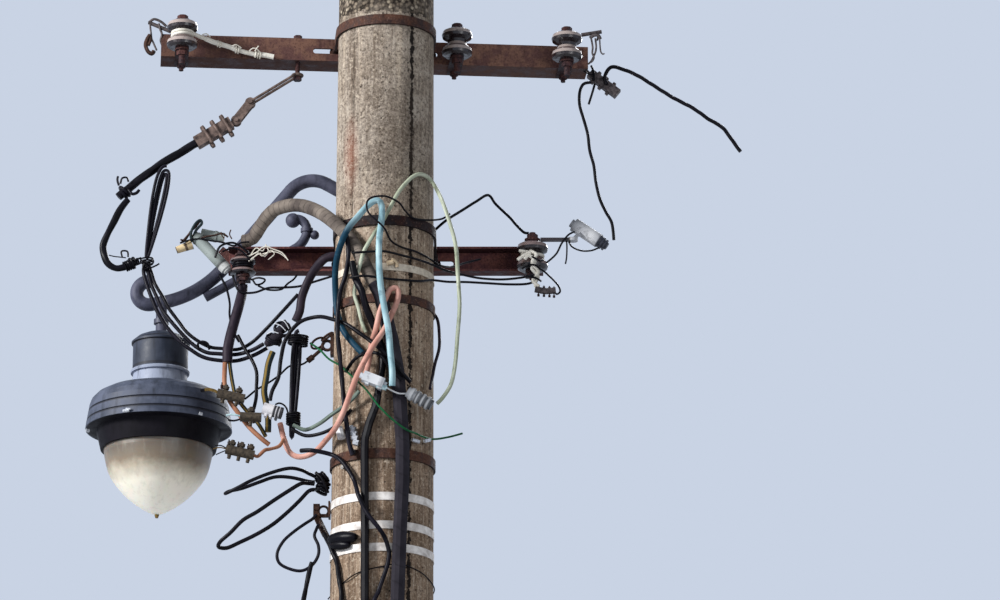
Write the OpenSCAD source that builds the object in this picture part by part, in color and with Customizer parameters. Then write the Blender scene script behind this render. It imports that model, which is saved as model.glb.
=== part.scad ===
// Concrete utility pole with two steel crossarms, spool insulators, a street lamp
// on a scrolled bracket, and the cables, clamps and connectors it carries.
// Millimetres, +Z up. The origin is the middle of the pole's foot, at ground level.
// X runs along the crossarms, and the arms' back faces +Y.

/* [Pole] */
// Height of the pole above the ground
pole_h = 6000; // [5400:50:7500]
// Diameter of the pole at the ground
pole_base_d = 288; // [240:2:360]
// Diameter of the pole at the top
pole_top_d = 240; // [190:2:300]
// Bevel round the top edge of the pole
pole_bevel = 12; // [4:1:30]

/* [Top crossarm] */
// Height of the lower face of the top crossarm
top_arm_z = 5723; // [5300:1:5900]
// Length of the top crossarm
top_arm_l = 1100; // [900:10:1600]
// Shift of the top crossarm's middle from the pole's middle
top_arm_shift = -20; // [-60:1:60]
// Height of the standing leg of the angle bar
top_arm_h = 60; // [45:1:90]
// Depth of the lying leg of the angle bar
top_arm_w = 80; // [60:1:110]
// Thickness of the angle bar
top_arm_t = 7; // [5:0.5:10]
// Turn of the top crossarm round the pole, in degrees
top_arm_yaw = 5; // [-10:0.5:10]

/* [Middle crossarm] */
// Height of the lower face of the middle crossarm
mid_arm_z = 5162; // [4800:1:5400]
// Length of the middle crossarm
mid_arm_l = 800; // [700:10:1200]
// Height of the channel
mid_arm_h = 65; // [50:1:100]
// Depth of the channel
mid_arm_w = 42; // [35:1:60]
// Thickness of the channel's web and flanges
mid_arm_t = 5.5; // [4:0.5:8]

/* [Collars and straps] */
// Gap between a collar and the pole
collar_gap = 0.3; // [0.1:0.1:0.8]
// Thickness of the strap collars
collar_t = 6; // [4:0.5:9]
// Height of the strap collars
collar_h = 25; // [20:1:40]
// Diameter of the collar bolts
collar_bolt_d = 12; // [10:1:16]
// Length of the slots in the crossarms
slot_l = 68; // [50:1:80]
// Width of the slots in the crossarms
slot_w = 14; // [13:0.5:18]
// Height of the thin steel straps
strap_h = 20; // [15:1:25]
// Thickness of the thin steel straps
strap_t = 1.5; // [1:0.1:3]

/* [Insulators] */
// Largest diameter of the spool insulators
spool_d = 79; // [60:1:100]
// Height of the spool insulators
spool_h = 72; // [55:1:90]
// Diameter of the groove for the wire
spool_groove_d = 46; // [35:1:60]
// Diameter of the spindle
spindle_d = 16; // [12:1:20]
// Gap between a spindle and its spool
spindle_gap = 0.8; // [0.3:0.1:1]
// Width of the flat bars that carry the insulators
bar_w = 35; // [28:1:50]
// Thickness of the flat bars that carry the insulators
bar_t = 6; // [4:0.5:8]

/* [Lamp] */
// Distance of the lamp's axis from the pole's axis, along the arms
lamp_x = 571; // [450:1:800]
// Room between the middle arm's back and the middle of the bracket tube
lamp_stand_off = 27.3; // [22:0.1:60]
// Height of the lower edge of the canopy
canopy_z = 4761; // [4500:1:5000]
// Largest diameter of the canopy
canopy_d = 370; // [280:2:460]
// Diameter of the glass bowl
bowl_d = 275; // [200:1:340]
// Diameter of the lamp's neck
neck_d = 140; // [110:1:180]
// Thickness of the lamp's metal shells
shell_t = 3; // [2:0.5:5]
// Thickness of the glass bowl
glass_t = 5; // [3:0.5:8]

/* [Lamp bracket] */
// Diameter of the bracket tube
tube_d = 34; // [27:1:48]
// Radius of the bend over the top of the tube
tube_bend_r = 72; // [60:1:120]
// Radius of the scroll that carries the lamp
scroll_r = 31; // [26:1:60]
// Diameter of the lamp's stem
stem_d = 28; // [20:1:40]

/* [Cables] */
// Gap between the pole's foot cables and the pole
riser_gap = 3; // [2:0.5:8]
// Diameter of the main riser
riser_d = 35; // [25:1:45]
// Diameter of the second riser
riser_small_d = 20; // [14:1:26]
// Diameter of the taped hose
hose_d = 34; // [25:1:40]
// Diameter of the thick cable that drops from the left arm
drop_d = 26; // [18:1:32]
// Diameter of the grey bundle and of the kept end of the line
bundle_d = 22; // [16:1:28]
// Diameter of the heavy black cables
heavy_d = 18; // [14:1:22]
// Width of the light blue cable
ribbon_d = 16; // [12:1:20]
// Diameter of the salmon cable
salmon_d = 14; // [10:1:18]
// Diameter of the black lead down the front
lead_d = 12; // [9:1:15]
// Diameter of the third riser
small_lead_d = 11; // [8:1:14]
// Diameter of the service cables
service_d = 10; // [7:1:12]
// Diameter of the small service cables
small_service_d = 9; // [7:1:12]
// Diameter of the light drop cables
light_d = 8; // [6:1:10]
// Diameter of the jumper to the right insulator
jumper_d = 7; // [5:1:9]
// Diameter of the wires round the front
wire_d = 6; // [4:1:8]
// Diameter of the thinnest wires
thin_d = 5; // [3:1:6]
// Sides of the round cables
cable_sides = 8; // [6:1:12]

/* [Hidden] */
$fn = 48;
arm_gap = 0.3;
nut_h = 10;

// Radius of the pole at a height
function pole_r(z) = (pole_base_d + (pole_top_d - pole_base_d) * z / pole_h) / 2;

top_face = pole_r(top_arm_z) + arm_gap;
mid_face = pole_r(mid_arm_z) + arm_gap;
top_slot_z = top_arm_z + 27;
top_slot_x = pole_r(top_arm_z) + 5;
mid_slot_x = pole_r(mid_arm_z) + 14.6;
lamp_y = mid_face + mid_arm_w + lamp_stand_off;
mid_slot_z = mid_arm_z + 31;
top_spool_v = top_face - 60;
top_spool_u = [-517, pole_r(top_arm_z) + 65, 469];
rear_bolt_v = top_face + 40;
spare_bolt_u = -219;
spare_bolt_v = top_face + 18;
bolt_d = 12;

// The bracket tube, from its foot behind the pole to the end of the scroll
tube_foot_z = 5120;
tube_path = [[162, 0], [80, 60], [132, 0], [tube_bend_r, 81], [268, 0], [262, -41],
    [26, 0], [scroll_r, -205]];
inner_scroll_path = [[28, -90], [60, -60], [262, 0]];
inner_scroll_z = 5295.5 - 0.62 * (tube_d - 34);

// The bowl is egg-shaped: its outline as share of its radius and depth below its rim
bowl_depth = 177;
bowl_pts = [[1, 0], [0.99, 22], [0.9, 70], [0.73, 106], [0.52, 136], [0.31, 158], [0.11, 173], [0, bowl_depth]];

// Risers, as X, height and distance added to their gap from the pole
main_riser_pts = [[-19.8, 5044.5, 2.1], [-5, 5014.5, 3.8], [8, 4960, 3], [24, 4898, 3], [38, 4820, 3], [45, 4742, 2],
    [50, 4665, 4], [52, 4630, 4], [52, 4540, 1], [42, 4240, 0], [40, 3600, 0], [40, 2400, 0], [40, 1200, 0],
    [40, 1, 0]];
second_riser_pts = [[-10.1, 4759.5, 2.4], [-15, 4730, 2.7], [-30, 4690, 2], [-40, 4650, 4], [-41, 4620, 4], [-40, 4540, 1],
    [-37, 4240, 0], [-36, 3600, 0], [-36, 2400, 0], [-36, 1200, 0], [-36, 1, 0]];
band_z = [3200, 2000, 800];

// Where the bands' rings stand, and the diameter of the cable in each
ring_places = [[40, riser_d], [-36, riser_small_d]];
upper_ring_places = [[-8, small_lead_d], [-96, lead_d]];

// The line at the left lies in one plane, from the spare bolt to its kept end
line_y = 119.8;
link_pin = [-350, line_y, 5612];
thimble_pin = [-385, line_y, 5564];
wedge_start = [-381, line_y, 5569];
wedge_end = [-487, line_y, 5503];
line_knot = [-664.5, line_y, 5374.5];

// The long hank hangs in front of the line, the middle hank beside the pole
long_hank_y = 98.5;
hank_depth = 24;
long_hank_depth = 20;

// The fittings at the right: the strain clamp on the top arm, and the tube connector
right_clamp_top = [512, 168, 5718];
right_clamp_foot = [594, 168, 5653];
right_tube_top = [478, 110, 5281];
right_tube_foot = [541, 110, 5237];

// Room inside a collar or a ring for the cable that it holds
tie_gap = 0.4;

// Heights of the collar and the straps that no crossarm hangs on
upper_collar_z = mid_arm_z + 42;
beige_strap_z = mid_arm_z - 76;
ring_clamp_z = mid_arm_z - 159;
lower_collar_z = 4603;
strap_z = [4498, 4426, 4370];
mid_spool_y = mid_face - 50;
small_spool_d = spool_d * 0.84;
small_spool_h = spool_h * 0.61;
mid_ins = [[372, 5147, spool_d, spool_h], [-359, 5135, small_spool_d, small_spool_h]];
canopy_h = 119;
neck_z = canopy_z + 156;
dome_z = neck_z + 75;
bowl_z = canopy_z - 42;

// Cable routes, from point to point
taped_hose_route = [
    [-359, 74, 5225], [-335, 65, 5230], [-310, 50, 5265], [-285, 30, 5290], [-245, 0, 5295],
    [-205, -30, 5285], [-165, -60, 5260], [-130, -95, 5225], [-95, -115, 5185], [-65, -130, 5140],
    [-45, -140, 5095], [-20, -145, 5045]
];

vertical_black_route = [
    [-90, -142.9, 5170], [-85, -147.9, 5125], [-90, -142.9, 5075], [-105, -132.9, 5025],
    [-110, -132.9, 4975], [-110, -132.9, 4920], [-105, -132.9, 4870], [-100, -127.9, 4820],
    [-95, -127.9, 4770], [-90, -132.9, 4725], [-85, -132.9, 4685], [-80, -127.9, 4645],
    [-70, -127.9, 4610]
];

pair_black_route = [
    [-75, -165, 5095], [-65, -165, 5050], [-50, -170, 5015], [-40, -165, 4980], [-25, -150, 4945],
    [-10, -140, 4910], [0, -140, 4870], [0, -140, 4820], [-10, -140, 4760]
];

blue_ribbon_route = [
    [-48.3, -128.3, 4870], [-73.3, -118.3, 4900], [-98.3, -98.3, 4940], [-113.3, -83.3, 4990],
    [-118.3, -83.3, 5040], [-118.3, -103.3, 5095], [-108.3, -138.3, 5135], [-88.3, -168.3, 5175],
    [-58.3, -168.3, 5215], [-33.3, -163.3, 5245], [-13.3, -163.3, 5255], [-3.3, -163.3, 5240],
    [-3.3, -168.3, 5200], [-8.3, -173.3, 5150], [-8.3, -178.3, 5090], [-3.3, -188.3, 5025],
    [6.7, -188.3, 4965], [16.7, -188.3, 4910], [21.7, -188.3, 4855], [26.7, -188.3, 4805],
    [26.7, -183.3, 4770]
];

white_cable_route = [
    [135, -113.5, 4745], [150, -118.5, 4760], [170, -118.5, 4795], [180, -113.5, 4850],
    [185, -108.5, 4920], [190, -108.5, 5000], [185, -103.5, 5085], [180, -103.5, 5155],
    [165, -103.5, 5215], [145, -103.5, 5275], [120, -68.5, 5335], [95, -98.5, 5345],
    [70, -118.5, 5330], [40, -133.5, 5290], [20, -138.5, 5250], [0, -143.5, 5210],
    [-25, -153.5, 5165], [-45, -163.5, 5125], [-55, -163.5, 5090], [-65, -133.5, 5060],
    [-70, -123.5, 5025], [-60, -123.5, 4990], [-50, -123.5, 4950], [-40, -123.5, 4925]
];

salmon_cable_route = [
    [-45, -145, 4795], [-35, -140, 4830], [-30, -140, 4860], [-25, -140, 4895], [-15, -165, 4920],
    [-5, -170, 4965], [10, -175, 5000], [20, -175, 5020], [35, -170, 5025], [40, -170, 5010],
    [35, -170, 4985], [20, -170, 4950], [5, -175, 4915], [-20, -180, 4875], [-40, -175, 4840],
    [-60, -170, 4800], [-75, -165, 4760], [-90, -155, 4720], [-110, -140, 4680], [-140, -60, 4665],
    [-170, -40, 4640], [-205, -20, 4635], [-230, -10, 4650], [-245, -10, 4685], [-255, -5, 4725]
];

green_wire_route = [
    [-182.5, -6.1, 4932], [-158.1, -43.1, 4905], [-133.1, -78.1, 4870], [-103.1, -103.1, 4845],
    [-78.1, -128.1, 4815], [-58.1, -153.1, 4790], [-33.1, -168.1, 4760], [-8.1, -173.1, 4725],
    [26.9, -168.1, 4690], [61.9, -163.1, 4665], [81.9, -133.1, 4665], [101.9, -98.1, 4665],
    [126.9, -58.1, 4670], [161.9, -58.1, 4675], [196.9, -38.1, 4690]
];

thin_loop_route = [
    [165, -87, 5245], [145, -92, 5230], [110, -82, 5230], [75, -112, 5225], [55, -122, 5240],
    [40, -142, 5255], [15, -172, 5260], [-5, -182, 5260], [-30, -182, 5255], [-40, -182, 5240],
    [-35, -187, 5215], [-15, -187, 5195], [5, -182, 5175], [20, -147, 5155], [45, -127, 5145],
    [80, -107, 5140], [110, -72, 5135], [140, -57, 5120], [170, 3, 5135], [205, 63, 5165],
    [240, 98, 5185]
];

front_wire_upper_route = [
    [-75, -189.4, 5110], [-50, -194.4, 5110], [-20, -169.4, 5120], [5, -154.4, 5125],
    [45, -139.4, 5120], [85, -119.4, 5115], [120, -79.4, 5115], [155, -44.4, 5110],
    [195, 5.6, 5115], [240, 35.6, 5115], [295, 45.6, 5115], [345, 45.6, 5120], [375, 35.6, 5125]
];

front_wire_lower_route = [
    [-80, -175, 5050], [-50, -190, 5050], [-25, -185, 5050], [15, -150, 5055], [50, -125, 5060],
    [90, -100, 5065], [120, -60, 5080], [160, -30, 5085], [205, 20, 5100], [255, 45, 5105],
    [310, 55, 5105], [360, 50, 5105], [385, 45, 5115]
];

black_arc_route = [
    [-280, -18.8, 4780], [-275, -18.8, 4805], [-260, -18.8, 4840], [-255, -18.8, 4885],
    [-245, -28.8, 4930], [-225, -38.8, 4960], [-200, -43.8, 4980], [-160, -58.8, 4985],
    [-125, -103.8, 4965], [-90, -128.8, 4945], [-60, -143.8, 4920], [-30, -153.8, 4895],
    [0, -168.8, 4865], [25, -168.8, 4840], [50, -163.8, 4810], [70, -148.8, 4790]
];

black_arc_small_route = [
    [-90, -103.2, 4830], [-70, -133.2, 4850], [-50, -148.2, 4860], [-25, -153.2, 4865],
    [0, -168.2, 4850], [25, -168.2, 4815], [50, -163.2, 4790]
];

right_drop_route = [
    [118.4, 53.4, 5035], [133.4, 33.4, 5005], [138.4, 13.4, 4960], [138.4, -16.6, 4915],
    [128.4, -46.6, 4865], [123.4, -76.6, 4825], [118.4, -126.6, 4780]
];

jumper_upper_route = [
    [125, 60, 5250], [155, 40, 5270], [195, 50, 5300], [230, 70, 5330], [260, 80, 5350],
    [280, 80, 5325], [315, 80, 5290], [330, 75, 5270], [350, 73.7, 5249], [363, 73.7, 5246.6]
];

clamp_tail_right_route = [
    [565, 152.4, 5675], [560, 152.4, 5695], [575, 147.4, 5720], [605, 147.4, 5715],
    [645, 142.4, 5695], [690, 142.4, 5665], [735, 142.4, 5635], [785, 137.4, 5605],
    [825, 137.4, 5575], [860, 132.4, 5550], [885, 132.4, 5515], [905, 132.4, 5485]
];

clamp_tail_down_route = [
    [525, 157.6, 5682.6], [505, 157.6, 5677.6], [495, 152.6, 5652.6], [495, 152.6, 5617.6],
    [505, 147.6, 5577.6], [515, 147.6, 5537.6], [520, 147.6, 5492.6], [530, 147.6, 5452.6],
    [535, 147.6, 5407.6], [545, 147.6, 5362.6], [560, 147.6, 5327.6], [575, 147.6, 5297.6],
    [580, 147.6, 5252.6]
];

left_drop_route = [
    [-359, 73.7, 5110.6], [-359, 73.7, 5092], [-365, 40, 5045], [-375, 30, 5000], [-385, 25, 4955],
    [-390, 20, 4920], [-390, 20, 4905], [-390, 20, 4890]
];

bundle_upper_route = [
    [-120, -52.5, 5145], [-145, -52.5, 5140], [-170, -32.5, 5120], [-190, -17.5, 5090],
    [-205, -12.5, 5050], [-210, -7.5, 5015], [-220, -7.5, 4990]
];

sweep_a_route = [
    [-609.5, 103.6, 5179.5], [-608.5, 102, 5166], [-600, 95, 5150], [-590, 90, 5115],
    [-575, 85, 5080], [-560, 80, 5045], [-535, 70, 5010], [-505, 65, 4975], [-475, 60, 4945],
    [-445, 50, 4925], [-415, 45, 4920], [-370, 35, 4915], [-330, 15, 4920], [-300, -5, 4930]
];

lower_tail_route = [
    [-220, -44, 4710], [-190, -54, 4695], [-155, -74, 4705], [-125, -84, 4725], [-100, -109, 4735],
    [-75, -129, 4750], [-55, -139, 4770]
];

sweep_b_route = [
    [-609.5, 93.4, 5179.5], [-610, 92.5, 5166], [-610, 90, 5145], [-600, 85, 5110],
    [-585, 80, 5070], [-570, 75, 5035], [-545, 70, 4995], [-515, 65, 4960], [-485, 60, 4935],
    [-455, 55, 4915], [-420, 50, 4905], [-370, 40, 4900], [-325, 25, 4910], [-290, 10, 4925]
];

sweep_c_route = [
    [-598, 98.5, 5179.5], [-597, 97.5, 5166], [-590, 95, 5145], [-580, 85, 5115], [-560, 80, 5080],
    [-545, 75, 5050], [-520, 70, 5015], [-495, 60, 4980], [-465, 55, 4955], [-435, 55, 4940],
    [-405, 50, 4935], [-365, 40, 4930], [-330, 30, 4945], [-295, 15, 4975], [-255, 0, 5015],
    [-215, -5, 5060]
];

knot_tail_route = [
    [-275, -21.3, 4905], [-285, -21.3, 4875], [-290, -21.3, 4840], [-295, -16.3, 4805],
    [-290, -11.3, 4775], [-285, -1.3, 4740], [-285, 3.7, 4705]
];

left_wire_route = [
    [-365, 19.6, 4960], [-345, 9.6, 4920], [-325, -0.4, 4885], [-315, -5.4, 4855],
    [-315, -5.4, 4820], [-315, -10.4, 4790], [-320, -15.4, 4760]
];

brown_tail_route = [
    [-396, 19, 4888.5], [-396, 16, 4876], [-395, 5, 4830], [-385, -10, 4790], [-360, -20, 4750],
    [-330, -25, 4710], [-300, -30, 4680], [-280, -25, 4665]
];

dark_tail_route = [
    [-384, 21.6, 4888.9], [-383, 21.6, 4876.4], [-375, 14.6, 4830.4], [-365, 4.6, 4795.4],
    [-340, -0.4, 4760.4], [-310, -5.4, 4725.4], [-290, -10.4, 4690.4]
];

tap_wire_route = [
    [-340.9, -29.3, 4781.3], [-325, -14.9, 4800], [-315, 5.1, 4815], [-285, 10.1, 4835],
    [-260, 15.1, 4855], [-235, 20.1, 4880], [-205, 18.5, 4884], [-190.2, 17.1, 4892.4]
];

lower_black_route = [
    [-225, -44.9, 4700], [-190, -54.9, 4680], [-150, -74.9, 4680], [-115, -99.9, 4690],
    [-95, -114.9, 4705], [-75, -129.9, 4725]
];

thin_riser_route = [
    [-200, -60, 4640], [-170, -80, 4635], [-125, -80, 4625], [-100, -100, 4605], [-80, -115, 4575],
    [-65, -125, 4545], [-55, -150, 4505], [-40, -155, 4470], [-25, -160, 4445], [-5, -160, 4420],
    [10, -140, 4400], [20, -135, 4370], [20, -135, 4350], [15, -135, 4325], [5, -135, 4295],
    [-5, -135, 4265], [-15, -140, 4235], [-9, -135.2, 4170], [-8, -136.6, 3900], [-8, -138.2, 3500],
    [-8, -139.4, 3212]
];

line_stub_route = [
    [-487, 119.8, 5503], [-530, 119.8, 5476], [-577, 119.8, 5445], [-625, 119.8, 5408],
    [-665, 119.8, 5374], [-682, 119.8, 5358]
];

loop_left_route = [
    [-657.6, 112.2, 5347.8], [-675, 105, 5320], [-690, 100, 5285], [-705, 95, 5250],
    [-715, 95, 5220], [-710, 90, 5190], [-700, 90, 5170], [-680, 95, 5160], [-655, 95, 5165],
    [-634, 97.5, 5176], [-623.9, 98.5, 5180.5]
];

tap_tail_route = [
    [-315.3, -46, 4631.8], [-306, -46, 4629.7], [-290, -45, 4645], [-275, -40, 4650],
    [-255, -30, 4660], [-245, -20, 4680]
];

hairpin_upper_route = [
    [-166.2, -20, 4585], [-180, -22, 4591], [-200, -45, 4595], [-230, -60, 4595], [-275, -70, 4580],
    [-320, -75, 4560], [-350, -70, 4545], [-375, -60, 4535], [-385, -45, 4535], [-375, -30, 4545],
    [-345, -20, 4555], [-305, -20, 4570], [-265, -15, 4585], [-225, -10, 4585], [-182, -2, 4577],
    [-166.8, -1, 4576]
];

hairpin_lower_route = [
    [-167.6, -20, 4566], [-182, -26, 4566], [-200, -45, 4560], [-230, -50, 4540], [-265, -55, 4515],
    [-305, -60, 4485], [-340, -55, 4465], [-370, -50, 4435], [-395, -40, 4415], [-400, -25, 4405],
    [-380, -15, 4405], [-350, -10, 4420], [-310, -10, 4440], [-270, -10, 4465], [-235, -10, 4495],
    [-205, -10, 4525], [-182, -4, 4552], [-167.5, -3, 4556]
];

service_coil_route = [
    [-162, -15.3, 4489], [-171, -20, 4477], [-190, -35, 4460], [-215, -40, 4440], [-240, -45, 4415],
    [-255, -45, 4385], [-250, -45, 4360], [-225, -45, 4345], [-195, -45, 4340], [-170, -40, 4355],
    [-155, -40, 4380], [-155, -40, 4405], [-165, -35, 4430], [-160, -30, 4450], [-156, -21.9, 4462]
];

service_drop_route = [
    [-141, -30, 4437], [-130, -50, 4410], [-120, -65, 4385], [-110, -75, 4360], [-105, -85, 4335],
    [-100, -90, 4300], [-95, -95, 4270], [-95, -100, 4240], [-95, -97, 4150], [-96, -99, 3850],
    [-96, -100.7, 3500], [-96, -102.3, 3212]
];

service_tail_route = [
    [-170, -50, 4360], [-175, -50, 4340], [-180, -50, 4315], [-185, -45, 4290], [-190, -40, 4265],
    [-195, -40, 4235]
];

// A point in front of the pole, a distance off its surface
function front(x, z, off) = [x, -sqrt(pow(pole_r(z) + off, 2) - x * x), z];

// A smooth curve through p1 and p2, with p0 before and p3 after them
function curve(p0, p1, p2, p3, t) = 0.5 * (2 * p1 + (p2 - p0) * t
    + (2 * p0 - 5 * p1 + 4 * p2 - p3) * t * t + (3 * p1 - p0 - 3 * p2 + p3) * t * t * t);

// A route with a ring about every step millimetres
function route(pts, step) = concat(
    [for (i = [0 : len(pts) - 2])
        let(n = max(1, ceil(norm(pts[i + 1] - pts[i]) / step)))
            for (k = [0 : n - 1])
                curve(pts[max(i - 1, 0)], pts[i], pts[i + 1], pts[min(i + 2, len(pts) - 1)], k / n)],
    [pts[len(pts) - 1]]);

function unit(v) = v / norm(v);

// The directions along a route
function headings(line) = [for (i = [0 : len(line) - 1])
    unit(line[min(i + 1, len(line) - 1)] - line[max(i - 1, 0)])];

function square_to(v, t) = unit(v - (v * t) * t);

// Sideways directions that turn as little as they can from ring to ring
function sideways(t, i, v) = i == len(t) ? []
    : let(n = square_to(v, t[i])) concat([n], sideways(t, i + 1, n));

// A round cable along a route
module cable(pts, d, sides = cable_sides, step = 3) {
    line = route(pts, step * d);
    t = headings(line);
    n = sideways(t, 0, abs(t[0][2]) < 0.9 ? [0, 0, 1] : [1, 0, 0]);
    last = (len(line) - 1) * sides;
    polyhedron(
        points = [for (i = [0 : len(line) - 1])
            for (k = [0 : sides - 1])
                line[i] + d / 2 * (cos(360 * k / sides) * n[i] + sin(360 * k / sides) * cross(t[i], n[i]))],
        faces = concat(
            [[for (k = [0 : sides - 1]) k]],
            [[for (k = [0 : sides - 1]) last + sides - 1 - k]],
            [for (i = [0 : len(line) - 2])
                for (k = [0 : sides - 1])
                    [i * sides + k, (i + 1) * sides + k, (i + 1) * sides + (k + 1) % sides]],
            [for (i = [0 : len(line) - 2])
                for (k = [0 : sides - 1])
                    [i * sides + k, (i + 1) * sides + (k + 1) % sides, i * sides + (k + 1) % sides]]));
}

// A hexagon nut or bolt head, standing on z = 0
module hexagon(across, h) {
    cylinder(d = across / cos(30), h = h, $fn = 6);
}

// A rod along +Y
module rod_y(d, l) {
    rotate([-90, 0, 0])
        cylinder(d = d, h = l);
}

// A ring that fits the taper of the pole
module band(z, h, t, gap) {
    rotate_extrude()
        polygon([
            [pole_r(z) + gap, z],
            [pole_r(z) + gap + t, z],
            [pole_r(z + h) + gap + t, z + h],
            [pole_r(z + h) + gap, z + h]
        ]);
}

// A ball with a small flat at the top and the bottom
module ball(d) {
    intersection() {
        sphere(d = d);
        cube([d + 2, d + 2, d * 0.97], center = true);
    }
}

// The concrete shaft, with a bevelled top edge
module pole_shaft() {
    color([0.55, 0.52, 0.47])
        rotate_extrude($fn = 96)
            polygon([
                [0, 0],
                [pole_r(0), 0],
                [pole_r(pole_h - pole_bevel), pole_h - pole_bevel],
                [pole_r(pole_h) - pole_bevel, pole_h],
                [0, pole_h]
            ]);
}

// A slot along X through a plate that faces -Y
module slot(x, y, z, depth) {
    translate([x, y - 1, z])
        rotate([-90, 0, 0])
            linear_extrude(depth + 2) {
                square([slot_l - slot_w, slot_w], center = true);
                for (s = [-1, 1])
                    translate([s * (slot_l - slot_w) / 2, 0])
                        circle(d = slot_w);
            }
}

// The rusty angle bar: one leg stands against the pole, the other lies at the back
module top_crossarm() {
    color([0.36, 0.2, 0.17])
        rotate([0, 0, top_arm_yaw])
            difference() {
                translate([top_arm_shift - top_arm_l / 2, top_face, top_arm_z])
                    union() {
                        cube([top_arm_l, top_arm_t, top_arm_h]);
                        cube([top_arm_l, top_arm_w, top_arm_t]);
                    }
                for (s = [-1, 1])
                    slot(top_arm_shift + s * top_slot_x, top_face, top_slot_z, top_arm_t);
                for (u = concat(top_spool_u, [spare_bolt_u]))
                    translate([u, u == spare_bolt_u ? spare_bolt_v : rear_bolt_v, top_arm_z - 1])
                        cylinder(d = bolt_d + 1, h = top_arm_t + 2);
            }
}

// The rusty channel, open towards the pole
module middle_crossarm() {
    color([0.36, 0.2, 0.17])
        difference() {
            translate([-mid_arm_l / 2, mid_face, mid_arm_z])
                cube([mid_arm_l, mid_arm_w, mid_arm_h]);
            translate([-mid_arm_l / 2 - 1, mid_face - 1, mid_arm_z + mid_arm_t])
                cube([mid_arm_l + 2, mid_arm_w + 1 - mid_arm_t, mid_arm_h - 2 * mid_arm_t]);
            for (s = [-1, 1])
                slot(s * mid_slot_x, mid_face + mid_arm_w - mid_arm_t, mid_slot_z, mid_arm_t);
            for (m = mid_ins)
                translate([m[0], mid_face + mid_arm_w - mid_arm_t - 1, mid_arm_z + 21])
                    rod_y(bolt_d + 1, mid_arm_t + 2);
        }
}

// A strap round the front of the pole, with a threaded stud at each end for the arm
module strap_collar(z, stud_z, leg, face, leaf) {
    r = pole_r(z) + collar_gap;
    translate([0, 0, z])
        rotate([0, 0, 180])
            rotate_extrude(angle = 180)
                translate([r, 0])
                    square([collar_t, collar_h]);
    for (s = [0, 1])
        mirror([s, 0, 0]) {
            translate([r, 0, z])
                cube([collar_t, leg, collar_h]);
            translate([r, leg - 22, min(z, stud_z - 10)])
                cube([collar_t, 22, z + collar_h - min(z, stud_z - 10)]);
            translate([r + collar_t / 2, leg - 12, stud_z])
                rod_y(collar_bolt_d, face + leaf + 26 - leg);
            translate([r + collar_t / 2, face + leaf, stud_z])
                rotate([-90, 0, 0])
                    cylinder(d = 26, h = 3);
            translate([r + collar_t / 2, face + leaf + 3, stud_z])
                rotate([-90, 0, 0])
                    hexagon(19, nut_h);
        }
}

module top_collar() {
    color([0.3, 0.17, 0.14])
        rotate([0, 0, top_arm_yaw])
            strap_collar(top_slot_z - collar_h / 2, top_slot_z, top_face - 34, top_face, top_arm_t);
}

module middle_collar() {
    color([0.26, 0.16, 0.14])
        strap_collar(upper_collar_z, mid_slot_z, mid_face - 16, mid_face + mid_arm_w - mid_arm_t, mid_arm_t);
}

module beige_strap() {
    color([0.72, 0.68, 0.58])
        band(beige_strap_z, 18, 2, collar_gap);
}

module ring_clamp() {
    color([0.26, 0.16, 0.14])
        band(ring_clamp_z, 22, 4, collar_gap);
}

// The collar below the arms: a split ring with its two ears and their bolt at the back
module lower_collar() {
    ear_y = pole_r(lower_collar_z) + 3;
    color([0.3, 0.18, 0.16]) {
        band(lower_collar_z, collar_h, 5, collar_gap);
        for (x = [-14, 8])
            translate([x, ear_y, lower_collar_z + 1])
                cube([6, 34, collar_h - 2]);
        translate([-24, ear_y + 20, lower_collar_z + collar_h / 2])
            rotate([0, 90, 0]) {
                cylinder(d = bolt_d, h = 50);
                translate([0, 0, 2])
                    hexagon(19, 8);
                translate([0, 0, 38])
                    hexagon(19, nut_h);
            }
    }
}

// Thin straps lower down, each with a ring for every cable that reaches it
module riser_bands() {
    color([0.75, 0.75, 0.75])
        for (z = band_z) {
            band(z, strap_h, strap_t, collar_gap);
            for (p = z == band_z[0] ? concat(ring_places, upper_ring_places) : ring_places)
                translate([p[0], front(p[0], z, p[1] / 2 + riser_gap)[1], z])
                    difference() {
                        cylinder(d = p[1] + 5, h = strap_h);
                        translate([0, 0, -1])
                            cylinder(d = p[1] + 1, h = strap_h + 2);
                    }
        }
}

module steel_straps() {
    color([0.8, 0.8, 0.8])
        for (z = strap_z)
            band(z, strap_h, strap_t, collar_gap);
}

// A waisted spool with a round bore, standing on z = 0
module spool(d, h) {
    r = d / 2;
    g = spool_groove_d / 2 * d / spool_d;
    b = spindle_d / 2 + spindle_gap;
    rotate_extrude()
        polygon([
            [b, 0],
            [r - 9, 0],
            [r - 2, h * 0.06],
            [r, h * 0.16],
            [r - 2, h * 0.28],
            [g + 3, h * 0.4],
            [g, h * 0.5],
            [g + 3, h * 0.6],
            [r - 2, h * 0.7],
            [r, h * 0.8],
            [r - 3, h * 0.93],
            [r - 12, h],
            [b, h]
        ]);
}

module top_insulators() {
    color([0.62, 0.56, 0.54])
        rotate([0, 0, top_arm_yaw])
            for (u = top_spool_u)
                translate([u, top_spool_v, top_arm_z])
                    spool(spool_d, spool_h);
}

module middle_insulators() {
    color([0.33, 0.2, 0.17])
        for (m = mid_ins)
            translate([m[0], mid_spool_y, m[1]])
                spool(m[2], m[3]);
}

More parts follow.
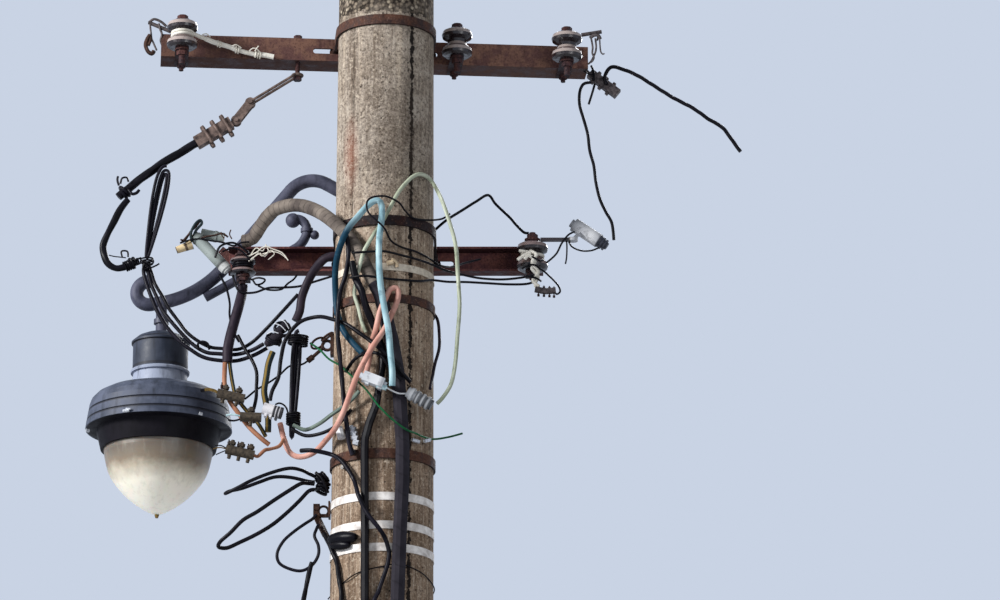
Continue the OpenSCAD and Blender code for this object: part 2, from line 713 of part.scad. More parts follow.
// A flat bar under the arm with the spindle in front and a bolt behind
module top_insulator_brackets() {
    color([0.3, 0.17, 0.14])
        rotate([0, 0, top_arm_yaw])
            for (u = top_spool_u)
                translate([u, 0, top_arm_z]) {
                    translate([-bar_w / 2, top_spool_v, -bar_t])
                        cube([bar_w, top_face + 60 - top_spool_v, bar_t]);
                    translate([0, top_spool_v, -bar_t])
                        cylinder(d = bar_w, h = bar_t);
                    translate([0, top_spool_v, -42])
                        cylinder(d = spindle_d, h = 42 + spool_h + 18);
                    translate([0, top_spool_v, -bar_t - 13])
                        hexagon(24, 13);
                    translate([-16, top_spool_v - 16, spool_h])
                        cube([32, 32, 4]);
                    translate([0, top_spool_v, spool_h + 4])
                        hexagon(24, 12);
                    translate([0, rear_bolt_v, -24])
                        cylinder(d = bolt_d, h = 24 + top_arm_t + 8);
                    translate([0, rear_bolt_v, -bar_t - nut_h])
                        hexagon(19, nut_h);
                    translate([0, rear_bolt_v, top_arm_t])
                        hexagon(19, 8);
                }
}

// A strap bent to a D: two legs that hold the spindle, and a back bolted to the arm
module middle_insulator_brackets() {
    color([0.34, 0.24, 0.22])
        for (m = mid_ins)
            translate([m[0], 0, m[1]]) {
                for (z = [-bar_t, m[3]]) {
                    translate([-bar_w / 2, mid_spool_y, z])
                        cube([bar_w, mid_face - mid_spool_y, bar_t]);
                    translate([0, mid_spool_y, z])
                        cylinder(d = bar_w, h = bar_t);
                }
                translate([-bar_w / 2, mid_face - bar_t, -bar_t])
                    cube([bar_w, bar_t, m[3] + 2 * bar_t]);
                translate([0, mid_spool_y, -24])
                    cylinder(d = spindle_d, h = m[3] + 52);
                translate([0, mid_spool_y, -bar_t - nut_h])
                    hexagon(24, nut_h);
                translate([0, mid_spool_y, m[3] + bar_t])
                    cylinder(d = 40, h = 5);
                translate([0, mid_spool_y, m[3] + bar_t + 5])
                    hexagon(24, 12);
                translate([0, mid_face - bar_t - 4, mid_arm_z + 21 - m[1]])
                    rod_y(bolt_d, mid_arm_w + bar_t + 20);
                translate([0, mid_face - bar_t - 4, mid_arm_z + 21 - m[1]])
                    rotate([-90, 0, 0])
                        hexagon(19, 4);
                translate([0, mid_face + mid_arm_w, mid_arm_z + 21 - m[1]])
                    rotate([-90, 0, 0])
                        hexagon(19, nut_h);
            }
}

// A long bolt left in the top arm's lying leg
module spare_bolt() {
    color([0.34, 0.26, 0.22])
        rotate([0, 0, top_arm_yaw])
            translate([spare_bolt_u, spare_bolt_v, top_arm_z]) {
                translate([0, 0, -48])
                    cylinder(d = bolt_d, h = 120);
                translate([0, 0, 64])
                    hexagon(19, 8);
                translate([0, 0, top_arm_t])
                    hexagon(19, nut_h);
                translate([0, 0, -50])
                    hexagon(19, nut_h);
            }
}

// Walk along a bent tube: [length, 0] is a straight piece, [radius, angle] a bend
// to the left when the angle is positive and to the right when it is negative. A low
// weld bead covers each joint.
module bent_tube(path, d, i = 0) {
    if (i < len(path)) {
        a = path[i][1];
        r = path[i][0];
        if (i > 0)
            translate([-1, 0, 0])
                rotate([0, 90, 0])
                    cylinder(d = d + 0.8, h = 2);
        if (a == 0) {
            rotate([0, 90, 0])
                cylinder(d = d, h = r);
            translate([r, 0, 0])
                bent_tube(path, d, i + 1);
        }
        else {
            s = sign(a);
            translate([0, s * r, 0])
                rotate([0, 0, a > 0 ? -90 : 90 + a])
                    rotate_extrude(angle = abs(a))
                        translate([r, 0])
                            circle(d = d);
            translate([0, s * r, 0])
                rotate([0, 0, a])
                    translate([0, -s * r, 0])
                        bent_tube(path, d, i + 1);
        }
    }
}

module main_tube(d) {
    translate([0, lamp_y, tube_foot_z])
        rotate([90, 0, 0])
            rotate([0, 0, 90])
                bent_tube(tube_path, d);
}

// The bracket tube: up behind the pole, over the top bend, down past the arm and round the scroll
module lamp_bracket() {
    color([0.29, 0.31, 0.36])
        main_tube(tube_d);
}

// The small scroll inside the bend: a ball at its tip, a ring with a small ball, and
// a tail that lies along the underside of the main tube
module bracket_scroll() {
    color([0.29, 0.31, 0.36])
        translate([0, lamp_y, inner_scroll_z]) {
            translate([-232, 0, 28])
                rotate([90, 0, 0])
                    bent_tube(inner_scroll_path, 24);
            for (b = [[-240, 24, 38], [-184, -15, 24]])
                translate([b[0], 0, b[1]])
                    ball(b[2]);
            translate([-204, 0, -8])
                cylinder(d = 32, h = 10);
        }
}

// Saddles that hold the bracket tube against the back of the middle arm
module bracket_clamps() {
    y = mid_face + mid_arm_w;
    color([0.3, 0.17, 0.14])
        for (p = [[0, mid_slot_z, 0], [-400, 5210, 39]])
            translate([p[0], 0, p[1]])
                rotate([0, p[2], 0])
                    difference() {
                        union() {
                            translate([-32, y, -14])
                                cube([64, lamp_y - y, 28]);
                            translate([0, lamp_y, -14])
                                cylinder(d = tube_d + 10, h = 28);
                        }
                        translate([0, lamp_y, -40])
                            cylinder(d = tube_d + 0.6, h = 80);
                    }
}

// The stem stands on the neck's dome and is cut to the underside of the tube
module lamp_stem() {
    color([0.29, 0.31, 0.36])
        difference() {
            translate([-lamp_x, lamp_y, 0]) {
                translate([0, 0, dome_z + 26])
                    cylinder(d = stem_d, h = 70);
                translate([0, 0, dome_z + 50])
                    cylinder(d = stem_d + 10, h = 12);
            }
            main_tube(tube_d + 2 * arm_gap);
        }
}

// The neck: a short pale sleeve, a rolled ring, the drum, and a low dome over a second ring
module lamp_neck() {
    r = neck_d / 2;
    color([0.29, 0.32, 0.38])
        translate([-lamp_x, lamp_y, 0])
            rotate_extrude()
                polygon([
                    [r - shell_t - 2, canopy_z + canopy_h + 0.3],
                    [r + 1, canopy_z + canopy_h + 0.3],
                    [r - 2, neck_z - 10],
                    [r + 4, neck_z - 8],
                    [r + 5, neck_z - 3],
                    [r + 3, neck_z],
                    [r, neck_z + 1],
                    [r, dome_z - 6],
                    [r + 4, dome_z - 5],
                    [r + 4, dome_z],
                    [r - 12, dome_z + 14],
                    [r - 30, dome_z + 22],
                    [stem_d / 2 + 6, dome_z + 26],
                    [0, dome_z + 26],
                    [0, dome_z + 26 - shell_t],
                    [stem_d / 2, dome_z + 26 - shell_t],
                    [r - 30, dome_z + 19],
                    [r - 13, dome_z + 11],
                    [r - shell_t, dome_z - 5],
                    [r - shell_t, neck_z - 6]
                ]);
}

module lamp_canopy() {
    r = canopy_d / 2;
    z = canopy_z;
    color([0.27, 0.3, 0.36])
        translate([-lamp_x, lamp_y, 0])
            rotate_extrude()
                polygon([
                    [r - shell_t, z],
                    [r, z],
                    [r - 2, z + 17],
                    [r - 5, z + 19],
                    [r - 3, z + 21],
                    [r - 6, z + 42],
                    [r - 9, z + 44],
                    [r - 7, z + 46],
                    [r - 9, z + 60],
                    [r - 14, z + 74],
                    [r - 26, z + 87],
                    [r - 48, z + 99],
                    [r - 80, z + 109],
                    [neck_d / 2 + 2, z + canopy_h],
                    [neck_d / 2 - shell_t - 2, z + canopy_h],
                    [neck_d / 2 - shell_t - 2, z + canopy_h - 4],
                    [r - 81, z + 105],
                    [r - 50, z + 95],
                    [r - 28, z + 83],
                    [r - 17, z + 72],
                    [r - shell_t - 9, z + 58],
                    [r - shell_t, z + 10]
                ]);
}

module lamp_skirt() {
    r = bowl_d / 2 + 20;
    z = canopy_z;
    color([0.16, 0.17, 0.2])
        translate([-lamp_x, lamp_y, 0])
            rotate_extrude()
                polygon([
                    [r - 12, z - 52],
                    [r - 19.7, z - 52],
                    [r - 19.7, z - 45],
                    [r - 15, z - 41],
                    [r - 2, z - 8],
                    [r - 2, z + 6],
                    [canopy_d / 2 - shell_t, z + 6],
                    [canopy_d / 2 - shell_t, z],
                    [r, z - 3]
                ]);
}

// The glass bowl, thin at the rim and closed by its tip
module lamp_bowl() {
    outer = route([for (p = bowl_pts) [p[0] * bowl_d / 2, bowl_z - p[1]]], 12);
    inner = route([for (p = bowl_pts) [max(0, p[0] * bowl_d / 2 - glass_t), bowl_z - p[1] * 0.965]], 12);
    color([0.9, 0.9, 0.86, 0.6])
        translate([-lamp_x, lamp_y, 0])
            rotate_extrude($fn = 96)
                polygon(concat(outer, [for (i = [len(inner) - 1 : -1 : 0]) inner[i]]));
}

module lamp_finial() {
    color([0.6, 0.5, 0.3])
        translate([-lamp_x, lamp_y, bowl_z - bowl_depth - 8])
            cylinder(d1 = 7, d2 = 12, h = 7.9);
}

module main_riser() {
    r = riser_d / 2;
    color([0.1, 0.1, 0.11])
        cable([for (p = main_riser_pts) front(p[0], p[1], r + riser_gap + p[2])], riser_d, 10, 5);
}

module second_riser() {
    r = riser_small_d / 2;
    color([0.14, 0.14, 0.15])
        cable([for (p = second_riser_pts) front(p[0], p[1], r + riser_gap + p[2])], riser_small_d, 8, 8);
}

// Stand the children's Z axis along the line from a to b
module aim(a, b) {
    v = b - a;
    translate(a)
        rotate([0, acos(v[2] / norm(v)), atan2(v[1], v[0])])
            children();
}

// A round bar between two points
module bar(a, b, d) {
    aim(a, b)
        cylinder(d = d, h = norm(b - a));
}

// A ring of round bar, flat in the XY plane
module ring(r, d) {
    rotate_extrude()
        translate([r, 0])
            circle(d = d);
}

// A tapered outline with round ends, standing in the XZ plane and leaning to one side
module hank(top, bottom, top_w, bottom_w, depth) {
    v = bottom - top;
    translate(top)
        rotate([90, 0, 0])
            rotate([0, 0, atan2(v[2], v[0])])
                translate([0, 0, -depth / 2])
                    linear_extrude(depth)
                        polygon(concat(
                            [for (a = [90 : 15 : 270]) top_w / 2 * [cos(a), sin(a)]],
                            [for (a = [-90 : 15 : 90]) [norm(v), 0] + bottom_w / 2 * [cos(a), sin(a)]]
                        ));
}

// A square collar round a hank, open for the hank to pass through
module hank_collar(p, w, depth, h) {
    translate(p)
        difference() {
            cube([w + 11, depth + 11, h], center = true);
            cube([w + 2 * tie_gap, depth + 2 * tie_gap, h + 2], center = true);
        }
}

// A wire eye round the spare bolt, and two legs that reach the thimble
module strain_link() {
    eye = [-230.3, line_y, top_arm_z - 50 + nut_h + 4.2];
    color([0.35, 0.27, 0.22]) {
        translate(eye)
            ring(12, 8);
        for (s = [-1, 1])
            bar(eye + [-4, s * 12, 0], link_pin + [0, s * 12, 0], 7);
        bar(link_pin - [0, 18, 0], link_pin + [0, 18, 0], 11);
    }
}

// Two side plates between the link's pin and the wedge clamp
module strain_thimble() {
    color([0.38, 0.22, 0.17])
        aim(link_pin, thimble_pin) {
            for (y = [-9, 4])
                translate([0, y, 0])
                    difference() {
                        union() {
                            translate([-11, 0, 0])
                                cube([22, 5, 60]);
                            rod_y(26, 5);
                            translate([0, 0, 60])
                                rod_y(26, 5);
                        }
                        translate([0, -1, 0])
                            rod_y(11.6, 7);
                    }
            translate([0, -13, 60])
                rod_y(10, 26);
        }
}

// The wedge clamp: a long grooved body, a keeper and a row of U-bolts
module strain_clamp() {
    l = norm(wedge_end - wedge_start);
    color([0.55, 0.54, 0.5])
        aim(wedge_start, wedge_end) {
            translate([-15, -14, 20])
                cube([30, 28, l - 20.5]);
            for (z = [30, 58, 86]) {
                translate([-30, -8, z])
                    cube([62, 16, 9]);
                for (y = [-18, 18])
                    translate([-26, y, z + 4.5])
                        rotate([0, 90, 0])
                            cylinder(d = 8, h = 52);
                translate([-22, -20, z])
                    cube([6, 40, 9]);
                translate([16, -20, z])
                    cube([6, 40, 9]);
            }
        }
}

// The hank of spare cable below the line, wide at its top
module hank_long() {
    color([0.12, 0.12, 0.14])
        hank([-562, long_hank_y, 5410], [-603, long_hank_y, 5192], 62, 24, long_hank_depth);
}

// The hank of heavier cable beside the pole
module hank_middle() {
    color([0.11, 0.11, 0.13])
        hank([-212, 0, 4953.8], [-226, 0, 4690], 42, 20, hank_depth);
}

// Bands that hold each hank together, the knot on the line, and the knot at the pole's side
module hank_ties() {
    color([0.08, 0.08, 0.09]) {
        hank_collar([-213.2, 0, 4932], 41.4, hank_depth, 12);
        hank_collar([-223.8, 0, 4732], 25, hank_depth, 14);
        hank_collar([-604, long_hank_y, 5181], 24, long_hank_depth, 10);
        aim(line_knot, line_knot - [13, 0, 12])
            difference() {
                cylinder(d = bundle_d + 16, h = 14);
                translate([0, 0, -1])
                    cylinder(d = bundle_d + 2 * tie_gap, h = 16);
            }
        hank([-145.9, -10, 4580], [-149, -10, 4558], 40, 34, 34);
    }
}

// A knot of slack cable beside the middle hank
module cable_knot() {
    color([0.1, 0.1, 0.12]) {
        translate([-253.4, 10, 4973.4])
            rotate([75, 0, 20])
                ring(20, 11);
        translate([-274, -3.6, 4942])
            rotate([35, 30, 0])
                ring(19, 12);
    }
}

// A ribbed connector block, with a groove between its ribs
module ribbed_body(l, d) {
    cylinder(d = d, h = l);
    for (k = [0 : 3])
        translate([0, 0, l * (0.12 + 0.22 * k)])
            cylinder(d = d + 6, h = l * 0.11);
}

module ribbed_connector() {
    color([0.62, 0.61, 0.6])
        aim([64.1, -159.1, 4762], [124.1, -159.1, 4727])
            ribbed_body(68, 27);
}

module white_connector() {
    color([0.82, 0.83, 0.82])
        aim([-44.5, -177, 4797], [17.5, -177, 4772]) {
            translate([-12, -13, 0])
                cube([24, 26, 54]);
            translate([0, 0, -8])
                cylinder(d = 14, h = 69.5);
            for (z = [10, 44])
                translate([12, -8, z])
                    cube([5, 16, 10]);
        }
}

module left_connector() {
    color([0.78, 0.77, 0.74])
        aim([-295, -48, 4752], [-247, -48, 4738]) {
            cylinder(d = 30, h = 49);
            for (z = [8, 21, 34])
                translate([12, -10, z])
                    cube([8, 20, 6]);
        }
}

// The bare metal taps: a split sleeve with two or three bolts through it
module line_taps() {
    taps = [[[-410, -29.3, 4796], [-343, -29.3, 4781], 2], [[-352, -41.2, 4732], [-300, -41.2, 4730], 1],
        [[-385, -46, 4648], [-316, -46, 4632], 3]];
    color([0.4, 0.37, 0.3])
        for (t = taps) {
            l = norm(t[1] - t[0]);
            aim(t[0], t[1]) {
                cylinder(d = 24, h = l);
                for (k = [1 : t[2]])
                    translate([-26, 0, l * (k - 0.5) / t[2]])
                        rotate([0, 90, 0]) {
                            cylinder(d = 9, h = 48);
                            translate([0, 0, 4])
                                hexagon(15, 8);
                        }
            }
        }
}

// The grey tube connector under the left arm end, with its collars
module left_tube_connector() {
    color([0.5, 0.56, 0.58])
        aim([-479.2, 60, 5233], [-400.2, 60, 5147]) {
            cylinder(d = 30, h = 117);
            translate([0, 0, -6])
                cylinder(d = 24, h = 129);
            translate([0, 0, 8])
                cylinder(d = 33, h = 4);
        }
}

// The short grey tube beside it, with a rusty band
module left_short_tube() {
    color([0.55, 0.58, 0.6])
        aim([-466, 80, 5247], [-408, 80, 5235]) {
            cylinder(d = 27, h = 59);
            translate([0, 0, 34])
                cylinder(d = 30, h = 7);
        }
}

module beige_sleeve() {
    color([0.75, 0.65, 0.5])
        aim([-526.9, 62, 5197], [-486.9, 62, 5213])
            cylinder(d1 = 17, d2 = 25, h = 43);
}

// The tube connector at the right, on a flat rod from the middle arm's insulator
module right_tube_connector() {
    line = [[0, -8], [11, -8], [11, 0], [18, 0], [18, 77], [17, 77], [14, 84], [16, 84], [16, 89], [12.5, 89],
        [11.5, 93], [15, 93], [15, 97], [10, 97], [9, 102], [0, 102]];
    color([0.45, 0.5, 0.56])
        aim(right_tube_top, right_tube_foot)
            rotate_extrude()
                polygon(line);
}

module right_rod() {
    color([0.28, 0.26, 0.27]) {
        translate([0, mid_spool_y, 5225])
            linear_extrude(8) {
                translate([392.3, -6])
                    square([78, 12]);
                translate([474, 0])
                    circle(d = 26);
            }
        aim([474, mid_spool_y, 5229], [491.4, 98.4, 5254.2])
            translate([-3.5, -3.5, 0])
                cube([7, 7, 38.8]);
    }
}

// The clamp that hangs from the top arm's right end
module right_strain_clamp() {
    color([0.42, 0.44, 0.45])
        aim(right_clamp_top, right_clamp_foot) {
            translate([-12, -10, 12])
                cube([24, 20, 92]);
            for (z = [28, 52, 76])
                translate([-19, -6, z])
                    cube([38, 12, 8]);
            rod_y(9, 1);
        }
    color([0.35, 0.36, 0.37])
        aim(right_clamp_top, right_clamp_foot)
            cylinder(d = 9, h = 16);
}

// Straps with wire ends at the tips of the top arm
module end_straps() {
    color([0.33, 0.22, 0.19]) {
        bar([-612, 75.8, 5816.2], [-548, 75.8, 5788.2], 10);
        bar([-609, 75.8, 5814.2], [-603, 75.8, 5767.2], 5);
        bar([-603, 75.8, 5770.2], [-590, 75.8, 5740.2], 5);
        bar([551.3, 101, 5800.3], [499.3, 101, 5791.3], 10);
        bar([544.3, 101, 5799.3], [540.3, 101, 5776.3], 5);
    }
}

// The clip on the upper strap: a plate, an open eye, a block, and the flat tube that leans from it
module service_clamp() {
    z = strap_z[0];
    r = pole_r(z) + strap_t + collar_gap + 0.1;
    color([0.45, 0.47, 0.5]) {
        translate([-r - 5, -16, z - 14])
            cube([5, 32, 40]);
        translate([-r - 26, -4, z - 12])
            cube([24, 8, 8]);
        translate([-r - 17, 0, z + 4])
            rotate([90, 0, 0])
                ring(12, 6);
        translate([-r - 42, -11, z - 14])
            cube([16, 22, 34]);
        translate([-r - 34, -15, z + 10])
            rotate([-90, 0, 0])
                hexagon(13, 30);
        aim([-r - 34, -2, z - 10], [-r - 9, -14, z - 64])
            translate([-6, -9, 0])
                cube([12, 18, 61]);
    }
}

// The rusty hook on the pole's left side, with two links and a lug
module stay_hook() {
    r = pole_r(4930) + 0.3;
    color([0.33, 0.2, 0.16]) {
        translate([-r - 8, -12, 4900])
            cube([8, 24, 60]);
        translate([-r - 16, 0, 4928])
            rotate([90, 0, 0])
                ring(12, 8);
        bar([-r - 26, 0, 4922], [-176, 11, 4902], 9);
        bar([-176, 11, 4902], [-189.5, 16.5, 4893], 15);
    }
}

// Strain fitting, each piece a solid of its own
module strain_fitting() {
    strain_link();
    strain_thimble();
    strain_clamp();
}

// Cable hanks, each piece a solid of its own
module cable_hanks() {
    hank_long();
    hank_middle();
}

// White connectors, each piece a solid of its own
module white_connectors() {
    white_connector();
    left_connector();
}

// Left connectors, each piece a solid of its own
module left_connectors() {
    left_tube_connector();
    left_short_tube();
    beige_sleeve();
}

// Right connector, each piece a solid of its own
module right_connector() {
    right_tube_connector();
    right_rod();
}

// Top arm fittings, each piece a solid of its own
module top_arm_fittings() {
    right_strain_clamp();
    end_straps();
}

// Side hooks, each piece a solid of its own
module side_hooks() {
    service_clamp();
    stay_hook();
}

module taped_hose() {
    color([0.42, 0.38, 0.35])
        cable(taped_hose_route, hose_d, 12);
}

module black_leads() {
    color([0.12, 0.12, 0.13])
        cable(vertical_black_route, lead_d);
    color([0.12, 0.12, 0.13])
        cable(pair_black_route, heavy_d);
}

module blue_ribbon() {
    color([0.6, 0.76, 0.8])
        cable(blue_ribbon_route, ribbon_d);
}

module white_cable() {
    color([0.72, 0.76, 0.68])
        cable(white_cable_route, service_d);
}

module salmon_cable() {
    color([0.85, 0.58, 0.5])
        cable(salmon_cable_route, salmon_d);
}

module green_wire() {
    color([0.15, 0.4, 0.25])
        cable(green_wire_route, thin_d);
}

module thin_wires() {
    color([0.12, 0.12, 0.13])
        cable(thin_loop_route, thin_d);
    color([0.12, 0.12, 0.13])
        cable(left_wire_route, small_service_d);
    color([0.12, 0.12, 0.13])
        cable(tap_wire_route, thin_d);
}

module front_wires() {
    color([0.12, 0.12, 0.13])
        cable(front_wire_upper_route, wire_d);
    color([0.12, 0.12, 0.13])
        cable(front_wire_lower_route, wire_d);
}

module black_arcs() {
    color([0.12, 0.12, 0.13])
        cable(black_arc_route, service_d);
    color([0.12, 0.12, 0.13])
        cable(black_arc_small_route, small_service_d);
}

module right_drop() {
    color([0.12, 0.12, 0.13])
        cable(right_drop_route, light_d);
}

module jumper_upper() {
    color([0.12, 0.12, 0.13])
        cable(jumper_upper_route, jumper_d);
}

module clamp_tails() {
    color([0.12, 0.12, 0.13])
        cable(clamp_tail_right_route, service_d);
    color([0.12, 0.12, 0.13])
        cable(clamp_tail_down_route, light_d);
}

module left_drop() {
    color([0.12, 0.12, 0.13])
        cable(left_drop_route, drop_d, 12);
}

module bundle_upper() {
    color([0.3, 0.29, 0.3])
        cable(bundle_upper_route, bundle_d);
}

module black_sweeps() {
    color([0.12, 0.12, 0.13])
        cable(sweep_a_route, service_d);
    color([0.12, 0.12, 0.13])
        cable(sweep_b_route, service_d);
    color([0.12, 0.12, 0.13])
        cable(sweep_c_route, small_service_d);
}

module lower_tails() {
    color([0.55, 0.6, 0.55])
        cable(lower_tail_route, service_d);
    color([0.12, 0.12, 0.13])
        cable(lower_black_route, small_service_d);
}

module cable_tails() {
    color([0.5, 0.33, 0.25])
        cable(brown_tail_route, lead_d);
    color([0.12, 0.12, 0.13])
        cable(dark_tail_route, service_d);
    color([0.25, 0.28, 0.25])
        cable(knot_tail_route, ribbon_d);
    color([0.36, 0.3, 0.27])
        cable(tap_tail_route, small_service_d);
}

module thin_riser() {
    color([0.12, 0.12, 0.13])
        cable(thin_riser_route, small_lead_d, cable_sides, 6);
}

module line_end() {
    color([0.12, 0.12, 0.13])
        cable(line_stub_route, bundle_d);
    color([0.12, 0.12, 0.13])
        cable(loop_left_route, heavy_d);
}

module service_loops() {
    color([0.12, 0.12, 0.13])
        cable(hairpin_upper_route, small_service_d);
    color([0.12, 0.12, 0.13])
        cable(hairpin_lower_route, service_d);
    color([0.12, 0.12, 0.13])
        cable(service_coil_route, light_d);
}

module service_cables() {
    color([0.12, 0.12, 0.13])
        cable(service_drop_route, lead_d, cable_sides, 6);
    color([0.12, 0.12, 0.13])
        cable(service_tail_route, lead_d);
}

pole_shaft();
top_crossarm();
middle_crossarm();
top_collar();
middle_collar();
beige_strap();
ring_clamp();
lower_collar();
steel_straps();
riser_bands();
top_insulators();
top_insulator_brackets();
middle_insulators();
middle_insulator_brackets();
spare_bolt();
lamp_bracket();
bracket_scroll();
bracket_clamps();
lamp_stem();
lamp_neck();
lamp_canopy();
lamp_skirt();
lamp_bowl();
lamp_finial();
main_riser();
second_riser();
hank_ties();
cable_knot();
ribbed_connector();
line_taps();
strain_fitting();
cable_hanks();
white_connectors();
left_connectors();
right_connector();
top_arm_fittings();
side_hooks();
taped_hose();
black_leads();
blue_ribbon();
white_cable();
salmon_cable();
green_wire();
thin_wires();
front_wires();
black_arcs();
right_drop();
jumper_upper();
clamp_tails();
left_drop();
bundle_upper();
black_sweeps();
lower_tails();
cable_tails();
thin_riser();
line_end();
service_loops();
service_cables();
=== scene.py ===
# %% [markdown]
# # A concrete pole that carries wires, a street lamp and a tangle of cables
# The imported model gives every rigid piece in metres, Z up, with the middle of the pole's foot at zero.
# This script adds what the model leaves out: the finish of each surface, the cables at full length,
# and the small things such as nuts, ties, tape and wire bindings.

# %% The frame
import math
import bmesh
import bpy
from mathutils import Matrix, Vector


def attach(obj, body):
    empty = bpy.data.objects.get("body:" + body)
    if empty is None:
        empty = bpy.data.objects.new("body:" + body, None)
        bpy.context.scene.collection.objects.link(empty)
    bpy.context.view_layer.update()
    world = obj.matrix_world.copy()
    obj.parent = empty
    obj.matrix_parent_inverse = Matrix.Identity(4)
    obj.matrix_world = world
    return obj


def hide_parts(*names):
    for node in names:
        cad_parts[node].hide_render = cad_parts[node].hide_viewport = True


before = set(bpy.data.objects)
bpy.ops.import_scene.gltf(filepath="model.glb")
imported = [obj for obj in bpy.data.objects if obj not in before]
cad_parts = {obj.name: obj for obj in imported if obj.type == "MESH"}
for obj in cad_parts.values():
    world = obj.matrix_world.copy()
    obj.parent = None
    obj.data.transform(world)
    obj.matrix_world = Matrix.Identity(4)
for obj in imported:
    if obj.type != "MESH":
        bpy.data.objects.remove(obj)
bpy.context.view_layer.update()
print("pieces from the model:", len(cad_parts))

# %% [markdown]
# ## The camera
# The photograph was taken from the street with a long lens, looking up at the pole's head. The place,
# the pitch and the lens were worked out from the pole's edges and the two crossarms, so the camera is
# set before anything else: every later piece can then be compared with the photograph.

# %% The camera
CAMERA_PLACE = (0.29, -10.65, 1.75)
CAMERA_PITCH = math.radians(17.2)
LENS_MM = 160.5
SENSOR_MM = 36
FARTHEST = 200

camera_data = bpy.data.cameras.new("camera")
camera_data.lens = LENS_MM
camera_data.sensor_width = SENSOR_MM
camera_data.clip_end = FARTHEST
camera = bpy.data.objects.new("camera", camera_data)
camera.location = CAMERA_PLACE
camera.rotation_euler = (math.pi / 2 + CAMERA_PITCH, 0, 0)
bpy.context.scene.collection.objects.link(camera)
bpy.context.scene.camera = camera
print("camera looks up by", round(math.degrees(CAMERA_PITCH), 1), "degrees")

# %% [markdown]
# ## Helpers for pieces
# A new mesh is linked to the scene, smoothed by angle and told to ride on the one body. Short lists of
# points and small sizes are written in millimetres, because that is how such hardware is bought, and
# one function turns each kind into metres. Some cables were moved a little after their points had been
# chosen, until they touched what holds them: that move is kept apart, as a shift.

# %% Helpers for pieces
BODY = "root"


def mm(value):
    """Millimetres as metres."""
    return value * 0.001


def metres(points, shift=(0, 0, 0)):
    """Points in millimetres, moved by a shift, as vectors in metres."""
    return [Vector([mm(c + move) for c, move in zip(point, shift)]) for point in points]


def piece(name, mesh, look, smooth=40):
    """A new object from a mesh, with its look (a material and a slot), on the body."""
    material, slot = look
    made = bpy.data.objects.new(name, mesh)
    bpy.context.scene.collection.objects.link(made)
    mesh.materials.append(material)
    mesh.shade_smooth()
    mesh.set_sharp_from_angle(angle=math.radians(smooth))
    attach(made, BODY)
    return made


print("new pieces ride on", BODY)

# %% [markdown]
# ## Helpers for materials
# A sheath, a rusty arm and weathered concrete differ mostly in how their small surface varies, so each
# material is made from noise whose scale is a real size. Colours are written as the eye sees them, in
# sRGB hex, and turned to linear once. One function adds a node with its settings and links, one lays
# tints over a colour, and one closes a material with its shader. Soot and chalk scatter what a clean
# surface would mirror, so dull black and rusty surfaces get a weak specular level: their blacks then
# stay black under a white sky.

# %% Helpers for materials
NOISE = "ShaderNodeTexNoise"
CELLS = "ShaderNodeTexVoronoi"
RAMP = "ShaderNodeValToRGB"
SPAN = "ShaderNodeMapRange"
MIX = "ShaderNodeMix"
MATH = "ShaderNodeMath"
PLACE = "ShaderNodeTexCoord"
SPLIT = "ShaderNodeSeparateXYZ"
SCALED = "ShaderNodeMapping"
VECTOR = "ShaderNodeVectorMath"
# outputs of the node that splits a place
X, Y, Z = 0, 1, 2
# inputs and output of the mix node, for colours
SHARE, UNDER, OVER, MIXED = 0, 6, 7, 2
DULL = {"Specular IOR Level": 0.16}


def linear(code):
    """An sRGB hex colour as linear RGBA."""
    parts = [int(code[i:i + 2], 16) / 255 for i in (1, 3, 5)]
    return [c / 12.92 if c <= 0.04045 else ((c + 0.055) / 1.055) ** 2.4 for c in parts] + [1]


def add(tree, kind, inputs, out=0, stops=(), **settings):
    """Adds a node with its settings; an input is a socket, a number or a hex colour. Returns an output."""
    made = tree.nodes.new(kind)
    for name, value in settings.items():
        setattr(made, name, value)
    for name, value in inputs.items():
        if isinstance(value, bpy.types.NodeSocket):
            tree.links.new(value, made.inputs[name])
        else:
            made.inputs[name].default_value = linear(value) if isinstance(value, str) else value
    for index, (position, value) in enumerate(stops):
        if index < 2:
            element = made.color_ramp.elements[index]
            element.position = position
        else:
            element = made.color_ramp.elements.new(position)
        element.color = linear(value) if isinstance(value, str) else (value, value, value, 1)
    return made.outputs[out] if len(made.outputs) else None


def layered(tree, colour, *layers):
    """Lays tints over a colour, each as far as its pattern says, read through its stops if it has any."""
    for pattern, stops, tint in layers:
        share = add(tree, RAMP, {0: pattern}, stops=stops) if stops else pattern
        colour = add(tree, MIX, {SHARE: share, UNDER: colour, OVER: tint}, MIXED, data_type="RGBA")
    return colour


def per_mm(size):
    """The scale of a pattern whose blotches are about that many millimetres across."""
    return 1 / mm(size)


def new_tree(name):
    """An empty material, its tree, and its object coordinates in metres."""
    made = bpy.data.materials.new(name)
    made.use_nodes = True
    made.node_tree.nodes.clear()
    return made, made.node_tree, add(made.node_tree, PLACE, {}, "Object")


def facing_up(tree):
    """How far the surface looks up: 0 straight down, 0.5 level, 1 straight up."""
    normal = add(tree, "ShaderNodeNewGeometry", {}, "Normal")
    return add(tree, MATH, {0: add(tree, SPLIT, {0: normal}, Z), 1: 0.5, 2: 0.5}, operation="MULTIPLY_ADD")


def close(made, tree, colour, roughness, height, depth_mm, strength=0.7, more=None):
    """Closes a material: its colour, roughness and bump, and more inputs of its main shader."""
    normal = add(tree, "ShaderNodeBump", {"Height": height, "Strength": strength, "Distance": mm(depth_mm)})
    inputs = {"Base Color": colour, "Roughness": roughness, "Normal": normal}
    inputs.update(more or {})
    shader = add(tree, "ShaderNodeBsdfPrincipled", inputs)
    add(tree, "ShaderNodeOutputMaterial", {"Surface": shader})
    return made


print("colours are turned to linear, and patterns have real sizes")

